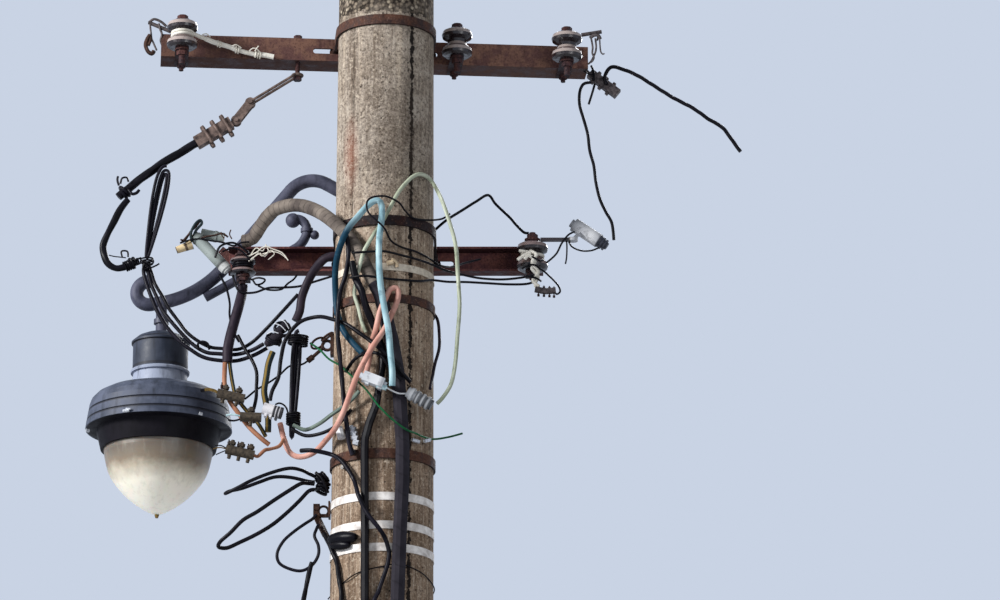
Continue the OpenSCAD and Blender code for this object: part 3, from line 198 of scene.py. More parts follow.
# %% [markdown]
# ## Sheaths
# Polyethylene and PVC sheaths are extruded, so they leave the factory smooth. Years of sun chalk them:
# the black turns a little grey on top, dirt gathers in patches and the gloss dies unevenly. The pattern
# follows the cable, so it is drawn on the tube's own unrolled surface: round it, and along it in metres.
# A stripe, where there is one, is a band of the unrolled surface, and so is a darker first stretch.

# %% Sheaths
SHEATH_SHINE = 0.1
DARK_FADES_OVER = 0.06


def sheath(name, body, faded, dirt, roughness=0.45, stripe=None, darker=None):
    """Extruded cable sheath: a body that fades in streaks, dirt in patches, and a darker stretch."""
    made, tree, here = new_tree(name)
    unrolled = add(tree, PLACE, {}, "UV")
    along = add(tree, SCALED, {"Vector": unrolled, "Scale": (3, 14, 1)})
    streaks = add(tree, NOISE, {"Vector": along, "Scale": 1, "Detail": 5})
    patches = add(tree, NOISE, {"Vector": here, "Scale": per_mm(34), "Detail": 5, "Roughness": 0.6})
    fine = add(tree, NOISE, {"Vector": here, "Scale": per_mm(2.5), "Detail": 3})
    colour = layered(tree, body, (streaks, [(0.42, 0), (0.68, 1)], faded))
    if stripe:
        around = add(tree, SPLIT, {0: unrolled}, X)
        colour = layered(tree, colour, (around, [(0, 1), (0.12, 1), (0.14, 0)], stripe))
    if darker:
        tint, until = darker
        length = add(tree, SPLIT, {0: unrolled}, Y)
        early = add(tree, SPAN, {"Value": length, "From Min": until, "From Max": until - DARK_FADES_OVER})
        colour = layered(tree, colour, (early, None, tint))
    colour = layered(tree, colour, (patches, [(0.56, 0), (0.72, 0.75)], dirt))
    dull = add(tree, RAMP, {0: patches}, stops=[(0.35, roughness), (0.7, min(roughness + 0.3, 0.95))])
    return close(made, tree, colour, dull, fine, 0.12, 0.6, {"Specular IOR Level": SHEATH_SHINE})


SHEATHS = {
    "black": (sheath("black_polyethylene", "#07060a", "#121018", "#18151c", 0.28), "black_sheath"),
    "grey_black": (sheath("aged_black_polyethylene", "#0c0b12", "#1a1722", "#211e29", 0.3), "black_sheath"),
    "purple_grey": (sheath("aged_grey_pvc", "#221c25", "#3a3039", "#191419", 0.4), "black_sheath"),
    "blue": (sheath("light_blue_pvc", "#86a9b3", "#b9d3d9", "#3d6070", 0.34, None, ("#17394c", 0.42)),
             "pale_blue_sheath"),
    "white": (sheath("cream_pvc", "#98a08a", "#c9cebc", "#5d6455", 0.4), "pale_green_sheath"),
    "salmon": (sheath("salmon_pvc", "#b98577", "#d6a99c", "#7c4c43", 0.4), "salmon_sheath"),
    "green": (sheath("green_pvc", "#0f4426", "#226b41", "#0d2c1d", 0.4), "green_sheath"),
    "brown": (sheath("brown_pvc", "#8a5c46", "#b9876b", "#4a3227", 0.5), "black_sheath"),
    "olive": (sheath("olive_striped_pvc", "#1f2a2f", "#33403f", "#171918", 0.5, "#7a6430"), "black_sheath"),
    "sage": (sheath("sage_pvc", "#54605a", "#8b9a8e", "#2f3432", 0.45), "black_sheath"),
}
print("sheaths:", ", ".join(SHEATHS))

# %% [markdown]
# ## Wound tape
# The thick hose at the left is wrapped in cloth tape, and so are the joints and the big riser. Each turn
# overlaps the last one by half, so the surface is a row of slanting steps, with a dark line of painted
# shade along each step. The steps are worked out from the unrolled surface: the place along the hose plus
# one pitch for each way round it. The riser is a piece of the model and has no unrolled surface, so its
# own height and its own x do the same there.

# %% Wound tape
def wound_tape(name, pitch_mm, light, dark, step_shade, depth_mm=1.2, upright=None):
    """Tape wound in slanting turns: steps on the unrolled surface, or on an upright pipe, by its slope."""
    made, tree, here = new_tree(name)
    unrolled = add(tree, PLACE, {}, "UV")
    if upright:
        unrolled = add(tree, SCALED, {"Vector": here, "Scale": (upright, 1, 1)})
    around = add(tree, SPLIT, {0: unrolled}, X)
    along = add(tree, SPLIT, {0: unrolled}, Z if upright else Y)
    turns = add(tree, MATH, {0: along, 1: per_mm(pitch_mm), 2: around}, operation="MULTIPLY_ADD")
    wobble = add(tree, NOISE, {"Vector": here, "Scale": per_mm(22), "Detail": 3})
    turns = add(tree, MATH, {0: wobble, 1: 0.6, 2: turns}, operation="MULTIPLY_ADD")
    step = add(tree, MATH, {0: turns}, operation="FRACT")
    weave = add(tree, NOISE, {"Vector": here, "Scale": per_mm(1.6), "Detail": 2})
    stain = add(tree, NOISE, {"Vector": here, "Scale": per_mm(45), "Detail": 6})
    # The dark line at each step is painted shade, where one turn's edge lies over the last.
    colour = layered(tree, light,
                     (stain, [(0.36, 0), (0.66, 1)], dark),
                     (step, [(0, 0.75), (0.06, 0.15), (0.14, 0), (0.94, 0), (1, 0.55)], step_shade))
    height = add(tree, MATH, {0: weave, 1: 0.25, 2: step}, operation="MULTIPLY_ADD")
    return close(made, tree, colour, 0.82, height, depth_mm, 0.8, DULL)


SHEATHS["tape"] = (wound_tape("wound_cloth_tape", 17, "#7f756c", "#4e4642", "#1e1a19"), "tape")
SHEATHS["black_tape"] = (wound_tape("wound_black_tape", 12, "#2a252c", "#14121a", "#08070a"), "black_sheath")
print("tapes: cloth with a 17 mm pitch, black with a 12 mm pitch")

# %% [markdown]
# ## How a cable is drawn
# A cable is a tube that follows a smooth curve through a few chosen points. The tube's ring is carried
# along the curve without twisting, and its unrolled surface is kept for the materials. Bundled service
# cables are two or three cores laid round each other, so their section has lobes that turn slowly along
# the length, about once in eleven diameters.

# %% The tube
CORE_LAY = 11
CORE_DIP = 0.86
CORE_RISE = 0.17
ROUND_SIDES = 14
NEARLY_UPRIGHT = 0.9


def curve_point(before, start, end, after, share):
    """A point on the smooth curve from start to end."""
    return 0.5 * (2 * start + (end - before) * share + (2 * before - 5 * start + 4 * end - after) * share ** 2
                  + (3 * start - before - 3 * end + after) * share ** 3)


def smooth_line(points, step):
    """The smooth curve through vectors, about a step from point to point."""
    line = []
    for i in range(len(points) - 1):
        before, after = points[max(i - 1, 0)], points[min(i + 2, len(points) - 1)]
        count = max(1, math.ceil((points[i + 1] - points[i]).length / step))
        for k in range(count):
            line.append(curve_point(before, points[i], points[i + 1], after, k / count))
    return line + [points[-1]]


def line_length(line):
    """The length of a line of points."""
    return sum((b - a).length for a, b in zip(line, line[1:]))


def tube_mesh(name, line, diameter, sides=ROUND_SIDES, cores=1, swell=None):
    """A tube along a line, with its unrolled surface; swell(share) scales the radius along it."""
    mesh = bmesh.new()
    unrolled = mesh.loops.layers.uv.new("UVMap")
    rings, gone, side = [], 0.0, None
    whole = line_length(line)
    for i, point in enumerate(line):
        ahead = (line[min(i + 1, len(line) - 1)] - line[max(i - 1, 0)]).normalized()
        if side is None:
            side = ahead.cross(Vector((0, 0, 1)) if abs(ahead.z) < NEARLY_UPRIGHT else Vector((1, 0, 0)))
        side = (side - ahead * side.dot(ahead)).normalized()
        up = ahead.cross(side)
        gone += (point - line[i - 1]).length if i else 0
        twist = math.tau * gone / (CORE_LAY * diameter)
        ring = []
        for k in range(sides):
            angle = math.tau * k / sides
            radius = diameter / 2
            if cores > 1:
                radius *= CORE_DIP + CORE_RISE * abs(math.cos(cores * (angle - twist) / 2))
            if swell:
                radius *= swell(gone / whole)
            ring.append(mesh.verts.new(point + radius * (math.cos(angle) * side + math.sin(angle) * up)))
        rings.append((ring, gone))
    for (ring, start), (other, end) in zip(rings, rings[1:]):
        for k in range(sides):
            j = (k + 1) % sides
            face = mesh.faces.new((ring[k], ring[j], other[j], other[k]))
            corners = ((k, start), (k + 1, start), (k + 1, end), (k, end))
            for loop, (around, along) in zip(face.loops, corners):
                loop[unrolled].uv = (around / sides, along)
    mesh.faces.new(list(reversed(rings[0][0])))
    mesh.faces.new(rings[-1][0])
    bmesh.ops.recalc_face_normals(mesh, faces=mesh.faces[:])
    made = bpy.data.meshes.new(name)
    mesh.to_mesh(made)
    mesh.free()
    return made


print("two cores turn once in", CORE_LAY, "diameters")

# %% [markdown]
# ## A cable as a piece
# Each cable takes the place of its plain tube in the model: a tube of its width along its line, and its
# length is printed. A laid cable needs shorter steps than a round one, to show its lobes.

# %% The cables
CORED_SIDES = 18
CABLE_SMOOTH = 50
ROUND_STEP = 0.6
CORED_STEP = 0.3


def cable(name, line, node, diameter, look, cores):
    """A cable: a tube along its line, in place of its node."""
    mesh = tube_mesh(name, line, diameter, CORED_SIDES if cores > 1 else ROUND_SIDES, cores)
    made = piece(name + "_cable", mesh, look, CABLE_SMOOTH)
    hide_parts(node)
    print(name, round(line_length(line), 3), "m long")


def routed(name, width, look, points, node=None, cores=1,
           shift=(0, 0, 0)):
    """A hanging cable through points, all in mm. Its node has its own name, unless one is given."""
    step = mm(width) * (CORED_STEP if cores > 1 else ROUND_STEP)
    line = smooth_line(metres(points, shift), step)
    cable(name, line, node or name, mm(width), SHEATHS[look], cores)


print("a step along a round cable is", ROUND_STEP, "of its width")

# %% [markdown]
# ## Ties and bindings
# A hank is held by a few turns of thin cord or wire, pulled tight and twisted off. Each tie is one helix
# round the hank's own oval section, with a short tail, so its turns lie beside each other a wire's width
# apart. They are made here, before the hanks that they hold.
# Everything in them is in millimetres.

# %% Winding
STRAND_STEP = mm(3)
THIN_MM = 4
THIN_SIDES = 6
WIRE_SIDES = 8
UPRIGHT = (0, 0, 1)
SIDEWAYS = (1, 0, 0)


def winding(centre, axis, across, wide, deep, turns, pitch, steps=20):
    """Points of a helix round an oval: wide along `across`, deep at right angles to it and the axis."""
    centre, axis = Vector(centre), Vector(axis).normalized()
    across = Vector(across)
    across = (across - axis * across.dot(axis)).normalized()
    out = axis.cross(across)
    points = []
    for i in range(round(turns * steps) + 1):
        angle = math.tau * i / steps
        rise = pitch * (i / steps - turns / 2)
        points.append(centre + axis * rise + across * wide * math.cos(angle) + out * deep * math.sin(angle))
    return points


def rings(centre, axis, across, radius, turns, pitch):
    """Turns of wire round a groove or a bundle."""
    return winding(centre, axis, across, radius, radius, turns, pitch)


def joined(name, parts, look, smooth=40):
    """One piece from several meshes."""
    mesh = bmesh.new()
    for part in parts:
        mesh.from_mesh(part)
        bpy.data.meshes.remove(part)
    made = bpy.data.meshes.new(name)
    mesh.to_mesh(made)
    mesh.free()
    return piece(name, made, look, smooth)


def wires(name, look, *parts):
    """One piece of several short tubes; each part is its width, its points and, if it matters, its sides."""
    tubes = []
    for width, points, *given in parts:
        usual = THIN_SIDES if width < THIN_MM else WIRE_SIDES
        sides = given[0] if given else usual
        tubes.append(tube_mesh("strand", smooth_line(metres(points), STRAND_STEP), mm(width), sides))
    return joined(name, tubes, look)


print("wires under", THIN_MM, "mm have", THIN_SIDES, "sides")

# %% [markdown]
# ## Hanks of spare cable
# Spare cable is folded into long turns and tied, so that it can be let out later. The turns lie inside
# the outline that the model gives each hank. Every turn is a long oval: it runs down one side, round
# the foot, up the other side and over the top. Each next turn is a little narrower and sits at its own
# depth, so no two turns share the same place.

# %% Hanks
HANK_STEPS = 28
HANK_BULGE = 0.7


def hank_line(top, foot, top_half, foot_half, depth, width, turns, shares):
    """The line of a folded cable inside a tapered outline that stands in the XZ plane, in metres."""
    top, foot = Vector(top), Vector(foot)
    down = (foot - top).normalized()
    side = Vector((down.z, 0, -down.x))
    height = (foot - top).length
    points = []
    for i in range(turns * HANK_STEPS + 1):
        turn = i / HANK_STEPS
        angle = math.tau * turn
        whole = min(int(turn), turns - 1)
        share = shares[whole] + (shares[min(whole + 1, turns - 1)] - shares[whole]) * (turn - whole)
        inset = (top_half - width / 2) * (1 - share)
        reach = 0.5 - 0.5 * math.cos(angle)
        along = inset - top_half + width + (height + top_half + foot_half - 2 * width - inset) * reach
        down_share = min(max(along / height, 0), 1)
        half = (top_half + (foot_half - top_half) * down_share - width / 2) * share
        bulge = math.copysign(abs(math.sin(angle)) ** HANK_BULGE, math.sin(angle))
        deep = (depth - width) * (turn / turns - 0.5)
        points.append(top + down * along + side * half * bulge + Vector((0, deep, 0)))
    return points


print("a turn of a hank has", HANK_STEPS, "points")

# %% [markdown]
# ## The ties themselves
# Five ties hold the slack cable: two on the middle hank, one at the foot of the long hank, a rope round
# the line, and a tight knot of service cable at the pole's side. A sixth lump of wire closes the loop
# at the left. Each of the five stands where the model has its collar.

# %% Ties
BLACK = SHEATHS["black"]
GREY_BLACK = SHEATHS["grey_black"]
WHITE_TAPE = (sheath("white_pvc_tape", "#c9ccd2", "#e2e4e8", "#8f8d92", 0.4), "white_plastic")

middle_top = wires("tie_middle_top", BLACK,
      (5.6, winding((-213.5, 0, 4941), (0.1, 0, 1), SIDEWAYS, 23.5, 15, 4, 5.8)),
      (2.4, [(-232, -10, 4933), (-215, -18.5, 4938.5), (-196, -13, 4942)], 8))
middle_foot = wires("tie_middle_foot", BLACK,
      (5.6, winding((-222.5, 0, 4737.5), UPRIGHT, SIDEWAYS, 16, 14.8, 5, 5.8)),
      (4.5, [(-236, -8, 4752), (-240, -10, 4764), (-248, -12, 4772), (-258, -16, 4774), (-266, -22, 4769)]),
      (2.2, [(-236, -12, 4731), (-222, -18.5, 4729), (-208, -13, 4731)], 8))
long_foot = wires("tie_long_foot", BLACK,
      (4.5, winding((-604, 98.5, 5181), UPRIGHT, SIDEWAYS, 15.5, 13, 2, 6)),
      (4.5, [(-618, 92, 5187), (-627, 88, 5181), (-622, 85, 5170), (-608, 84, 5172), (-592, 85, 5166),
           (-586, 88, 5176), (-592, 91, 5187)]),
      (4.5, [(-606, 84, 5167), (-594, 83, 5158), (-580, 83, 5163), (-571, 84, 5169)]),
      (4, [(-606, 85, 5176), (-613, 86, 5155), (-598, 85, 5158)]))
line_rope = wires("tie_line", GREY_BLACK,
      (8.5, winding((-668, 119.8, 5371.5), (-0.74, 0, -0.67), (0, 1, 0), 15.5, 15.5, 1.5, 9), 10),
      (8, [(-655, 104, 5372), (-645, 100, 5360), (-634, 100, 5363), (-628, 102, 5371)], 10),
      (6, [(-680, 104, 5384), (-684, 102, 5398), (-683, 104, 5408)]),
      (5, [(-676, 103, 5388), (-672, 100, 5402), (-660, 101, 5404), (-656, 105, 5394)]))
loop_lump = wires("tie_loop", BLACK,
      (5, winding((-648, 95.5, 5168.5), (0.92, 0, 0.38), (0, 1, 0), 11.8, 11.8, 5, 5.2)),
      (6, winding((-640, 95.5, 5173.5), (0.92, 0.2, 0.38), (0, 1, 0), 13.8, 13, 1.5, 9)),
      (3, [(-698.5, 86, 5192), (-685, 84, 5188), (-668, 84, 5186), (-655, 83, 5184)], 8),
      (4.5, [(-664, 83, 5184), (-667, 80, 5200), (-652, 80, 5200), (-650, 83, 5186)]))
pole_knot = wires("tie_pole_side", BLACK,
      (8.5, winding((-149.5, -10, 4582.5), (0.88, 0, 0.48), (0, 1, 0), 12.5, 12.5, 3, 8.5), 10),
      (8.5, winding((-147.5, -10, 4561), (0.35, 0, 1), SIDEWAYS, 13.5, 12.5, 3.5, 8.8), 10),
      (8, [(-164.5, -20, 4595), (-150, -26, 4580), (-140, -25, 4560), (-134, -15, 4545)], 10))
for tie in (middle_top, middle_foot, long_foot, line_rope, pole_knot):
    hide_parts("hank_ties")
print("five ties, and a lump of wire at the left")

# %% [markdown]
# ## The thick hose and the leads in front of the pole
# A thick hose, wrapped in tape on site, leaves the left insulator, arches over and comes down in front of
# the pole, where two laid leads hang below it. Each route here and in the next steps is a short list of
# points, chosen from the photograph and from what the cable rests on: the same points that the
# model's tubes follow. Their depth is guessed, because one photograph doesn't show it.

# %% Hose and leads
routed("taped_hose", 34, "tape", points=[
    (-359, 74, 5225), (-335, 65, 5230), (-310, 50, 5265), (-285, 30, 5290), (-245, 0, 5295),
    (-205, -30, 5285), (-165, -60, 5260), (-130, -95, 5225), (-95, -115, 5185), (-65, -130, 5140),
    (-45, -140, 5095), (-20, -145, 5045)])
routed("vertical_black", 12, "grey_black", node="black_leads", cores=2, shift=(0, 2.1, 0),
       points=[
    (-90, -145, 5170), (-85, -150, 5125), (-90, -145, 5075), (-105, -135, 5025), (-110, -135, 4975),
    (-110, -135, 4920), (-105, -135, 4870), (-100, -130, 4820), (-95, -130, 4770), (-90, -135, 4725),
    (-85, -135, 4685), (-80, -130, 4645), (-70, -130, 4610)])
routed("pair_black", 18, "black", node="black_leads", cores=2, points=[
    (-75, -165, 5095), (-65, -165, 5050), (-50, -170, 5015), (-40, -165, 4980), (-25, -150, 4945),
    (-10, -140, 4910), (0, -140, 4870), (0, -140, 4820), (-10, -140, 4760)])
print("a taped hose and two laid leads")

# %% [markdown]
# ## The coloured cables
# Service cables are sold with coloured sheaths. The light blue one climbs from the joints, turns over and
# runs down to its taped joint. The cream one makes the widest loop, at the right of the pole. The salmon
# one comes up, turns back and goes to the middle hank, and the thin green wire crosses below them. They
# lie at different depths, so that they pass in front of each other as in the photograph.

# %% Coloured cables
routed("blue_ribbon", 16, "blue", shift=(1.7, 1.7, 0), points=[
    (-50, -130, 4870), (-75, -120, 4900), (-100, -100, 4940), (-115, -85, 4990), (-120, -85, 5040),
    (-120, -105, 5095), (-110, -140, 5135), (-90, -170, 5175), (-60, -170, 5215), (-35, -165, 5245),
    (-15, -165, 5255), (-5, -165, 5240), (-5, -170, 5200), (-10, -175, 5150), (-10, -180, 5090),
    (-5, -190, 5025), (5, -190, 4965), (15, -190, 4910), (20, -190, 4855), (25, -190, 4805),
    (25, -185, 4770)])
routed("white_cable", 10, "white", shift=(0, 1.5, 0), points=[
    (135, -115, 4745), (150, -120, 4760), (170, -120, 4795), (180, -115, 4850), (185, -110, 4920),
    (190, -110, 5000), (185, -105, 5085), (180, -105, 5155), (165, -105, 5215), (145, -105, 5275),
    (120, -70, 5335), (95, -100, 5345), (70, -120, 5330), (40, -135, 5290), (20, -140, 5250),
    (0, -145, 5210), (-25, -155, 5165), (-45, -165, 5125), (-55, -165, 5090), (-65, -135, 5060),
    (-70, -125, 5025), (-60, -125, 4990), (-50, -125, 4950), (-40, -125, 4925)])
routed("salmon_cable", 14, "salmon", points=[
    (-45, -145, 4795), (-35, -140, 4830), (-30, -140, 4860), (-25, -140, 4895), (-15, -165, 4920),
    (-5, -170, 4965), (10, -175, 5000), (20, -175, 5020), (35, -170, 5025), (40, -170, 5010),
    (35, -170, 4985), (20, -170, 4950), (5, -175, 4915), (-20, -180, 4875), (-40, -175, 4840),
    (-60, -170, 4800), (-75, -165, 4760), (-90, -155, 4720), (-110, -140, 4680), (-140, -60, 4665),
    (-170, -40, 4640), (-205, -20, 4635), (-230, -10, 4650), (-245, -10, 4685), (-255, -5, 4725)])
routed("green_wire", 5, "green", shift=(1.9, 1.9, 0), points=[
    (-184.4, -8, 4932), (-160, -45, 4905), (-135, -80, 4870), (-105, -105, 4845), (-80, -130, 4815),
    (-60, -155, 4790), (-35, -170, 4760), (-10, -175, 4725), (25, -170, 4690), (60, -165, 4665),
    (80, -135, 4665), (100, -100, 4665), (125, -60, 4670), (160, -60, 4675), (195, -40, 4690)])
print("blue, cream, salmon and green")

# %% [markdown]
# ## Thin black wires across the pole
# Two slack wires cross to the bindings under the right-hand spool, and a third makes a wide loop in
# front of the pole before it goes to the same arm. Two thicker arcs lie lower down, over the joints.

# %% Thin wires
routed("thin_loop", 5, "black", node="thin_wires", shift=(0, 3, 0), points=[
    (165, -90, 5245), (145, -95, 5230), (110, -85, 5230), (75, -115, 5225), (55, -125, 5240),
    (40, -145, 5255), (15, -175, 5260), (-5, -185, 5260), (-30, -185, 5255), (-40, -185, 5240),
    (-35, -190, 5215), (-15, -190, 5195), (5, -185, 5175), (20, -150, 5155), (45, -130, 5145),
    (80, -110, 5140), (110, -75, 5135), (140, -60, 5120), (170, 0, 5135), (205, 60, 5165), (240, 95, 5185)])
routed("front_wire_upper", 6, "black", node="front_wires", shift=(0, -14.4, 0),
       points=[
    (-75, -175, 5110), (-50, -180, 5110), (-20, -155, 5120), (5, -140, 5125), (45, -125, 5120),
    (85, -105, 5115), (120, -65, 5115), (155, -30, 5110), (195, 20, 5115), (240, 50, 5115), (295, 60, 5115),
    (345, 60, 5120), (375, 50, 5125)])
routed("front_wire_lower", 6, "black", node="front_wires", points=[
    (-80, -175, 5050), (-50, -190, 5050), (-25, -185, 5050), (15, -150, 5055), (50, -125, 5060),
    (90, -100, 5065), (120, -60, 5080), (160, -30, 5085), (205, 20, 5100), (255, 45, 5105), (310, 55, 5105),
    (360, 50, 5105), (385, 45, 5115)])
routed("black_arc", 10, "black", node="black_arcs", shift=(0, 1.2, 0), points=[
    (-280, -20, 4780), (-275, -20, 4805), (-260, -20, 4840), (-255, -20, 4885), (-245, -30, 4930),
    (-225, -40, 4960), (-200, -45, 4980), (-160, -60, 4985), (-125, -105, 4965), (-90, -130, 4945),
    (-60, -145, 4920), (-30, -155, 4895), (0, -170, 4865), (25, -170, 4840), (50, -165, 4810),
    (70, -150, 4790)])
routed("black_arc_small", 9, "black", node="black_arcs", shift=(0, 1.8, 0), points=[
    (-90, -105, 4830), (-70, -135, 4850), (-50, -150, 4860), (-25, -155, 4865), (0, -170, 4850),
    (25, -170, 4815), (50, -165, 4790)])
print("three limp wires and two arcs")

# %% [markdown]
# ## Cables at the right
# A drop runs down close to the pole, and a jumper arches from the pole's side to the bracket of the
# right-hand spool. At the end of the top arm two cut ends leave the dead-end clamp: a laid cable that
# sags out to the right and a thin one that hangs almost straight.

# %% Right
routed("right_drop", 8, "purple_grey", shift=(-6.6, -6.6, 0), points=[
    (125, 60, 5035), (140, 40, 5005), (145, 20, 4960), (145, -10, 4915), (135, -40, 4865), (130, -70, 4825),
    (125, -120, 4780)])
routed("jumper_upper", 7, "black", points=[
    (125, 60, 5250), (155, 40, 5270), (195, 50, 5300), (230, 70, 5330), (260, 80, 5350), (280, 80, 5325),
    (315, 80, 5290), (330, 75, 5270), (350, 73.7, 5249), (363, 73.7, 5246.6)])
routed("clamp_tail_right", 10, "black", node="clamp_tails", cores=3, shift=(0, 2.4, 0), points=[
    (565, 150, 5675), (560, 150, 5695), (575, 145, 5720), (605, 145, 5715), (645, 140, 5695),
    (690, 140, 5665), (735, 140, 5635), (785, 135, 5605), (825, 135, 5575), (860, 130, 5550),
    (885, 130, 5515), (905, 130, 5485)])
routed("clamp_tail_down", 8, "black", node="clamp_tails", shift=(0, 7.6, 7.6), points=[
    (525, 150, 5675), (505, 150, 5670), (495, 145, 5645), (495, 145, 5610), (505, 140, 5570),
    (515, 140, 5530), (520, 140, 5485), (530, 140, 5445), (535, 140, 5400), (545, 140, 5355),
    (560, 140, 5320), (575, 140, 5290), (580, 140, 5245)])
print("a drop, a jumper and two cut ends")

# %% [markdown]
# ## Cables at the left
# A thick drop hangs from the left insulator, and a bundle in the same sheath runs from the pole to the
# middle hank. Three cables leave the foot of the long hank together, swing down and across, and end
# beside the middle hank. They are made one by one, so that they spread as loose cables do.

# %% Left
routed("left_drop", 26, "purple_grey", points=[
    (-359, 73.7, 5110.6), (-359, 73.7, 5092), (-365, 40, 5045), (-375, 30, 5000), (-385, 25, 4955),
    (-390, 20, 4920), (-390, 20, 4905), (-390, 20, 4890)])
routed("bundle_upper", 22, "purple_grey", shift=(0, 7.5, 0), points=[
    (-120, -60, 5145), (-145, -60, 5140), (-170, -40, 5120), (-190, -25, 5090), (-205, -20, 5050),
    (-210, -15, 5015), (-220, -15, 4990)])
routed("sweep_a", 10, "grey_black", node="black_sweeps", points=[
    (-609.5, 103.6, 5179.5), (-608.5, 102, 5166), (-600, 95, 5150), (-590, 90, 5115), (-575, 85, 5080),
    (-560, 80, 5045), (-535, 70, 5010), (-505, 65, 4975), (-475, 60, 4945), (-445, 50, 4925),
    (-415, 45, 4920), (-370, 35, 4915), (-330, 15, 4920), (-300, -5, 4930)])
routed("sweep_b", 10, "grey_black", node="black_sweeps", points=[
    (-609.5, 93.4, 5179.5), (-610, 92.5, 5166), (-610, 90, 5145), (-600, 85, 5110), (-585, 80, 5070),
    (-570, 75, 5035), (-545, 70, 4995), (-515, 65, 4960), (-485, 60, 4935), (-455, 55, 4915),
    (-420, 50, 4905), (-370, 40, 4900), (-325, 25, 4910), (-290, 10, 4925)])
routed("sweep_c", 9, "black", node="black_sweeps", points=[
    (-598, 98.5, 5179.5), (-597, 97.5, 5166), (-590, 95, 5145), (-580, 85, 5115), (-560, 80, 5080),
    (-545, 75, 5050), (-520, 70, 5015), (-495, 60, 4980), (-465, 55, 4955), (-435, 55, 4940),
    (-405, 50, 4935), (-365, 40, 4930), (-330, 30, 4945), (-295, 15, 4975), (-255, 0, 5015),
    (-215, -5, 5060)])
print("a drop, a bundle and three sweeps")

# %% [markdown]
# ## Tails between the joints and the taps
# Below the thick drop its cores part, a brown one and a striped dark one. They and the tails from the
# knot go down past the line taps, and short tails lead from the taps to the hank and from the hank on to
# the joints in front of the pole.

# %% Tails
routed("knot_tail", 16, "olive", node="cable_tails", shift=(0, -6.3, 0), points=[
    (-275, -15, 4905), (-285, -15, 4875), (-290, -15, 4840), (-295, -10, 4805), (-290, -5, 4775),
    (-285, 5, 4740), (-285, 10, 4705)])
routed("left_wire", 9, "black", node="thin_wires", shift=(0, 9.6, 0), points=[
    (-365, 10, 4960), (-345, 0, 4920), (-325, -10, 4885), (-315, -15, 4855), (-315, -15, 4820),
    (-315, -20, 4790), (-320, -25, 4760)])
routed("brown_tail", 12, "brown", node="cable_tails", points=[
    (-396, 19, 4888.5), (-396, 16, 4876), (-395, 5, 4830), (-385, -10, 4790), (-360, -20, 4750),
    (-330, -25, 4710), (-300, -30, 4680), (-280, -25, 4665)])
routed("dark_tail", 10, "olive", node="cable_tails", shift=(0, -0.4, 0.4), points=[
    (-384, 22, 4888.5), (-383, 22, 4876), (-375, 15, 4830), (-365, 5, 4795), (-340, 0, 4760),
    (-310, -5, 4725), (-290, -10, 4690)])
routed("tap_tail", 9, "brown", node="cable_tails", cores=2, points=[
    (-315.3, -46, 4631.8), (-306, -46, 4629.7), (-290, -45, 4645), (-275, -40, 4650), (-255, -30, 4660),
    (-245, -20, 4680)])
routed("tap_wire", 5, "black", node="thin_wires", shift=(0, 5.1, 0), points=[
    (-340.9, -34.4, 4781.3), (-325, -20, 4800), (-315, 0, 4815), (-285, 5, 4835), (-260, 10, 4855),
    (-235, 15, 4880), (-205, 13.4, 4884), (-190.2, 12, 4892.4)])
routed("lower_tail", 10, "sage", node="lower_tails", shift=(0, -9, 0), points=[
    (-220, -35, 4710), (-190, -45, 4695), (-155, -65, 4705), (-125, -75, 4725), (-100, -100, 4735),
    (-75, -120, 4750), (-55, -130, 4770)])
routed("lower_black", 9, "black", node="lower_tails", shift=(0, -9.9, 0), points=[
    (-225, -35, 4700), (-190, -45, 4680), (-150, -65, 4680), (-115, -90, 4690), (-95, -105, 4705),
    (-75, -120, 4725)])
print("eight tails")

# %% [markdown]
# ## A riser and the kept end of the line
# The thin riser comes from the left, passes in front of the pole and goes down it to the first steel
# band. The line's end stays at the clamp as a short laid stub with a rope tied round it, and a loop of
# the same kind hangs from there to the foot of the long hank.

# %% Riser and line
routed("thin_riser", 11, "grey_black", points=[
    (-200, -60, 4640), (-170, -80, 4635), (-125, -80, 4625), (-100, -100, 4605), (-80, -115, 4575),
    (-65, -125, 4545), (-55, -150, 4505), (-40, -155, 4470), (-25, -160, 4445), (-5, -160, 4420),
    (10, -140, 4400), (20, -135, 4370), (20, -135, 4350), (15, -135, 4325), (5, -135, 4295),
    (-5, -135, 4265), (-15, -140, 4235), (-9, -135.2, 4170), (-8, -136.6, 3900), (-8, -138.2, 3500),
    (-8, -139.4, 3212)])
routed("line_stub", 22, "black", node="line_end", cores=3, points=[
    (-487, 119.8, 5503), (-530, 119.8, 5476), (-577, 119.8, 5445), (-625, 119.8, 5408), (-665, 119.8, 5374),
    (-682, 119.8, 5358)])
routed("loop_left", 18, "black", node="line_end", cores=2,
       points=[
    (-657.6, 112.2, 5347.8), (-675, 105, 5320), (-690, 100, 5285), (-705, 95, 5250), (-715, 95, 5220),
    (-710, 90, 5190), (-700, 90, 5170), (-680, 95, 5160), (-655, 95, 5165), (-634, 97.5, 5176),
    (-623.9, 98.5, 5180.5)])
print("a riser, a stub and a loop")

# %% [markdown]
# ## Service cables at the pole's side
# Two long loops stand out to the left of the knot, because such cable springs back when it is let go.
# A small coil hangs under them, and the drop goes down the pole to the same band as the thin riser.

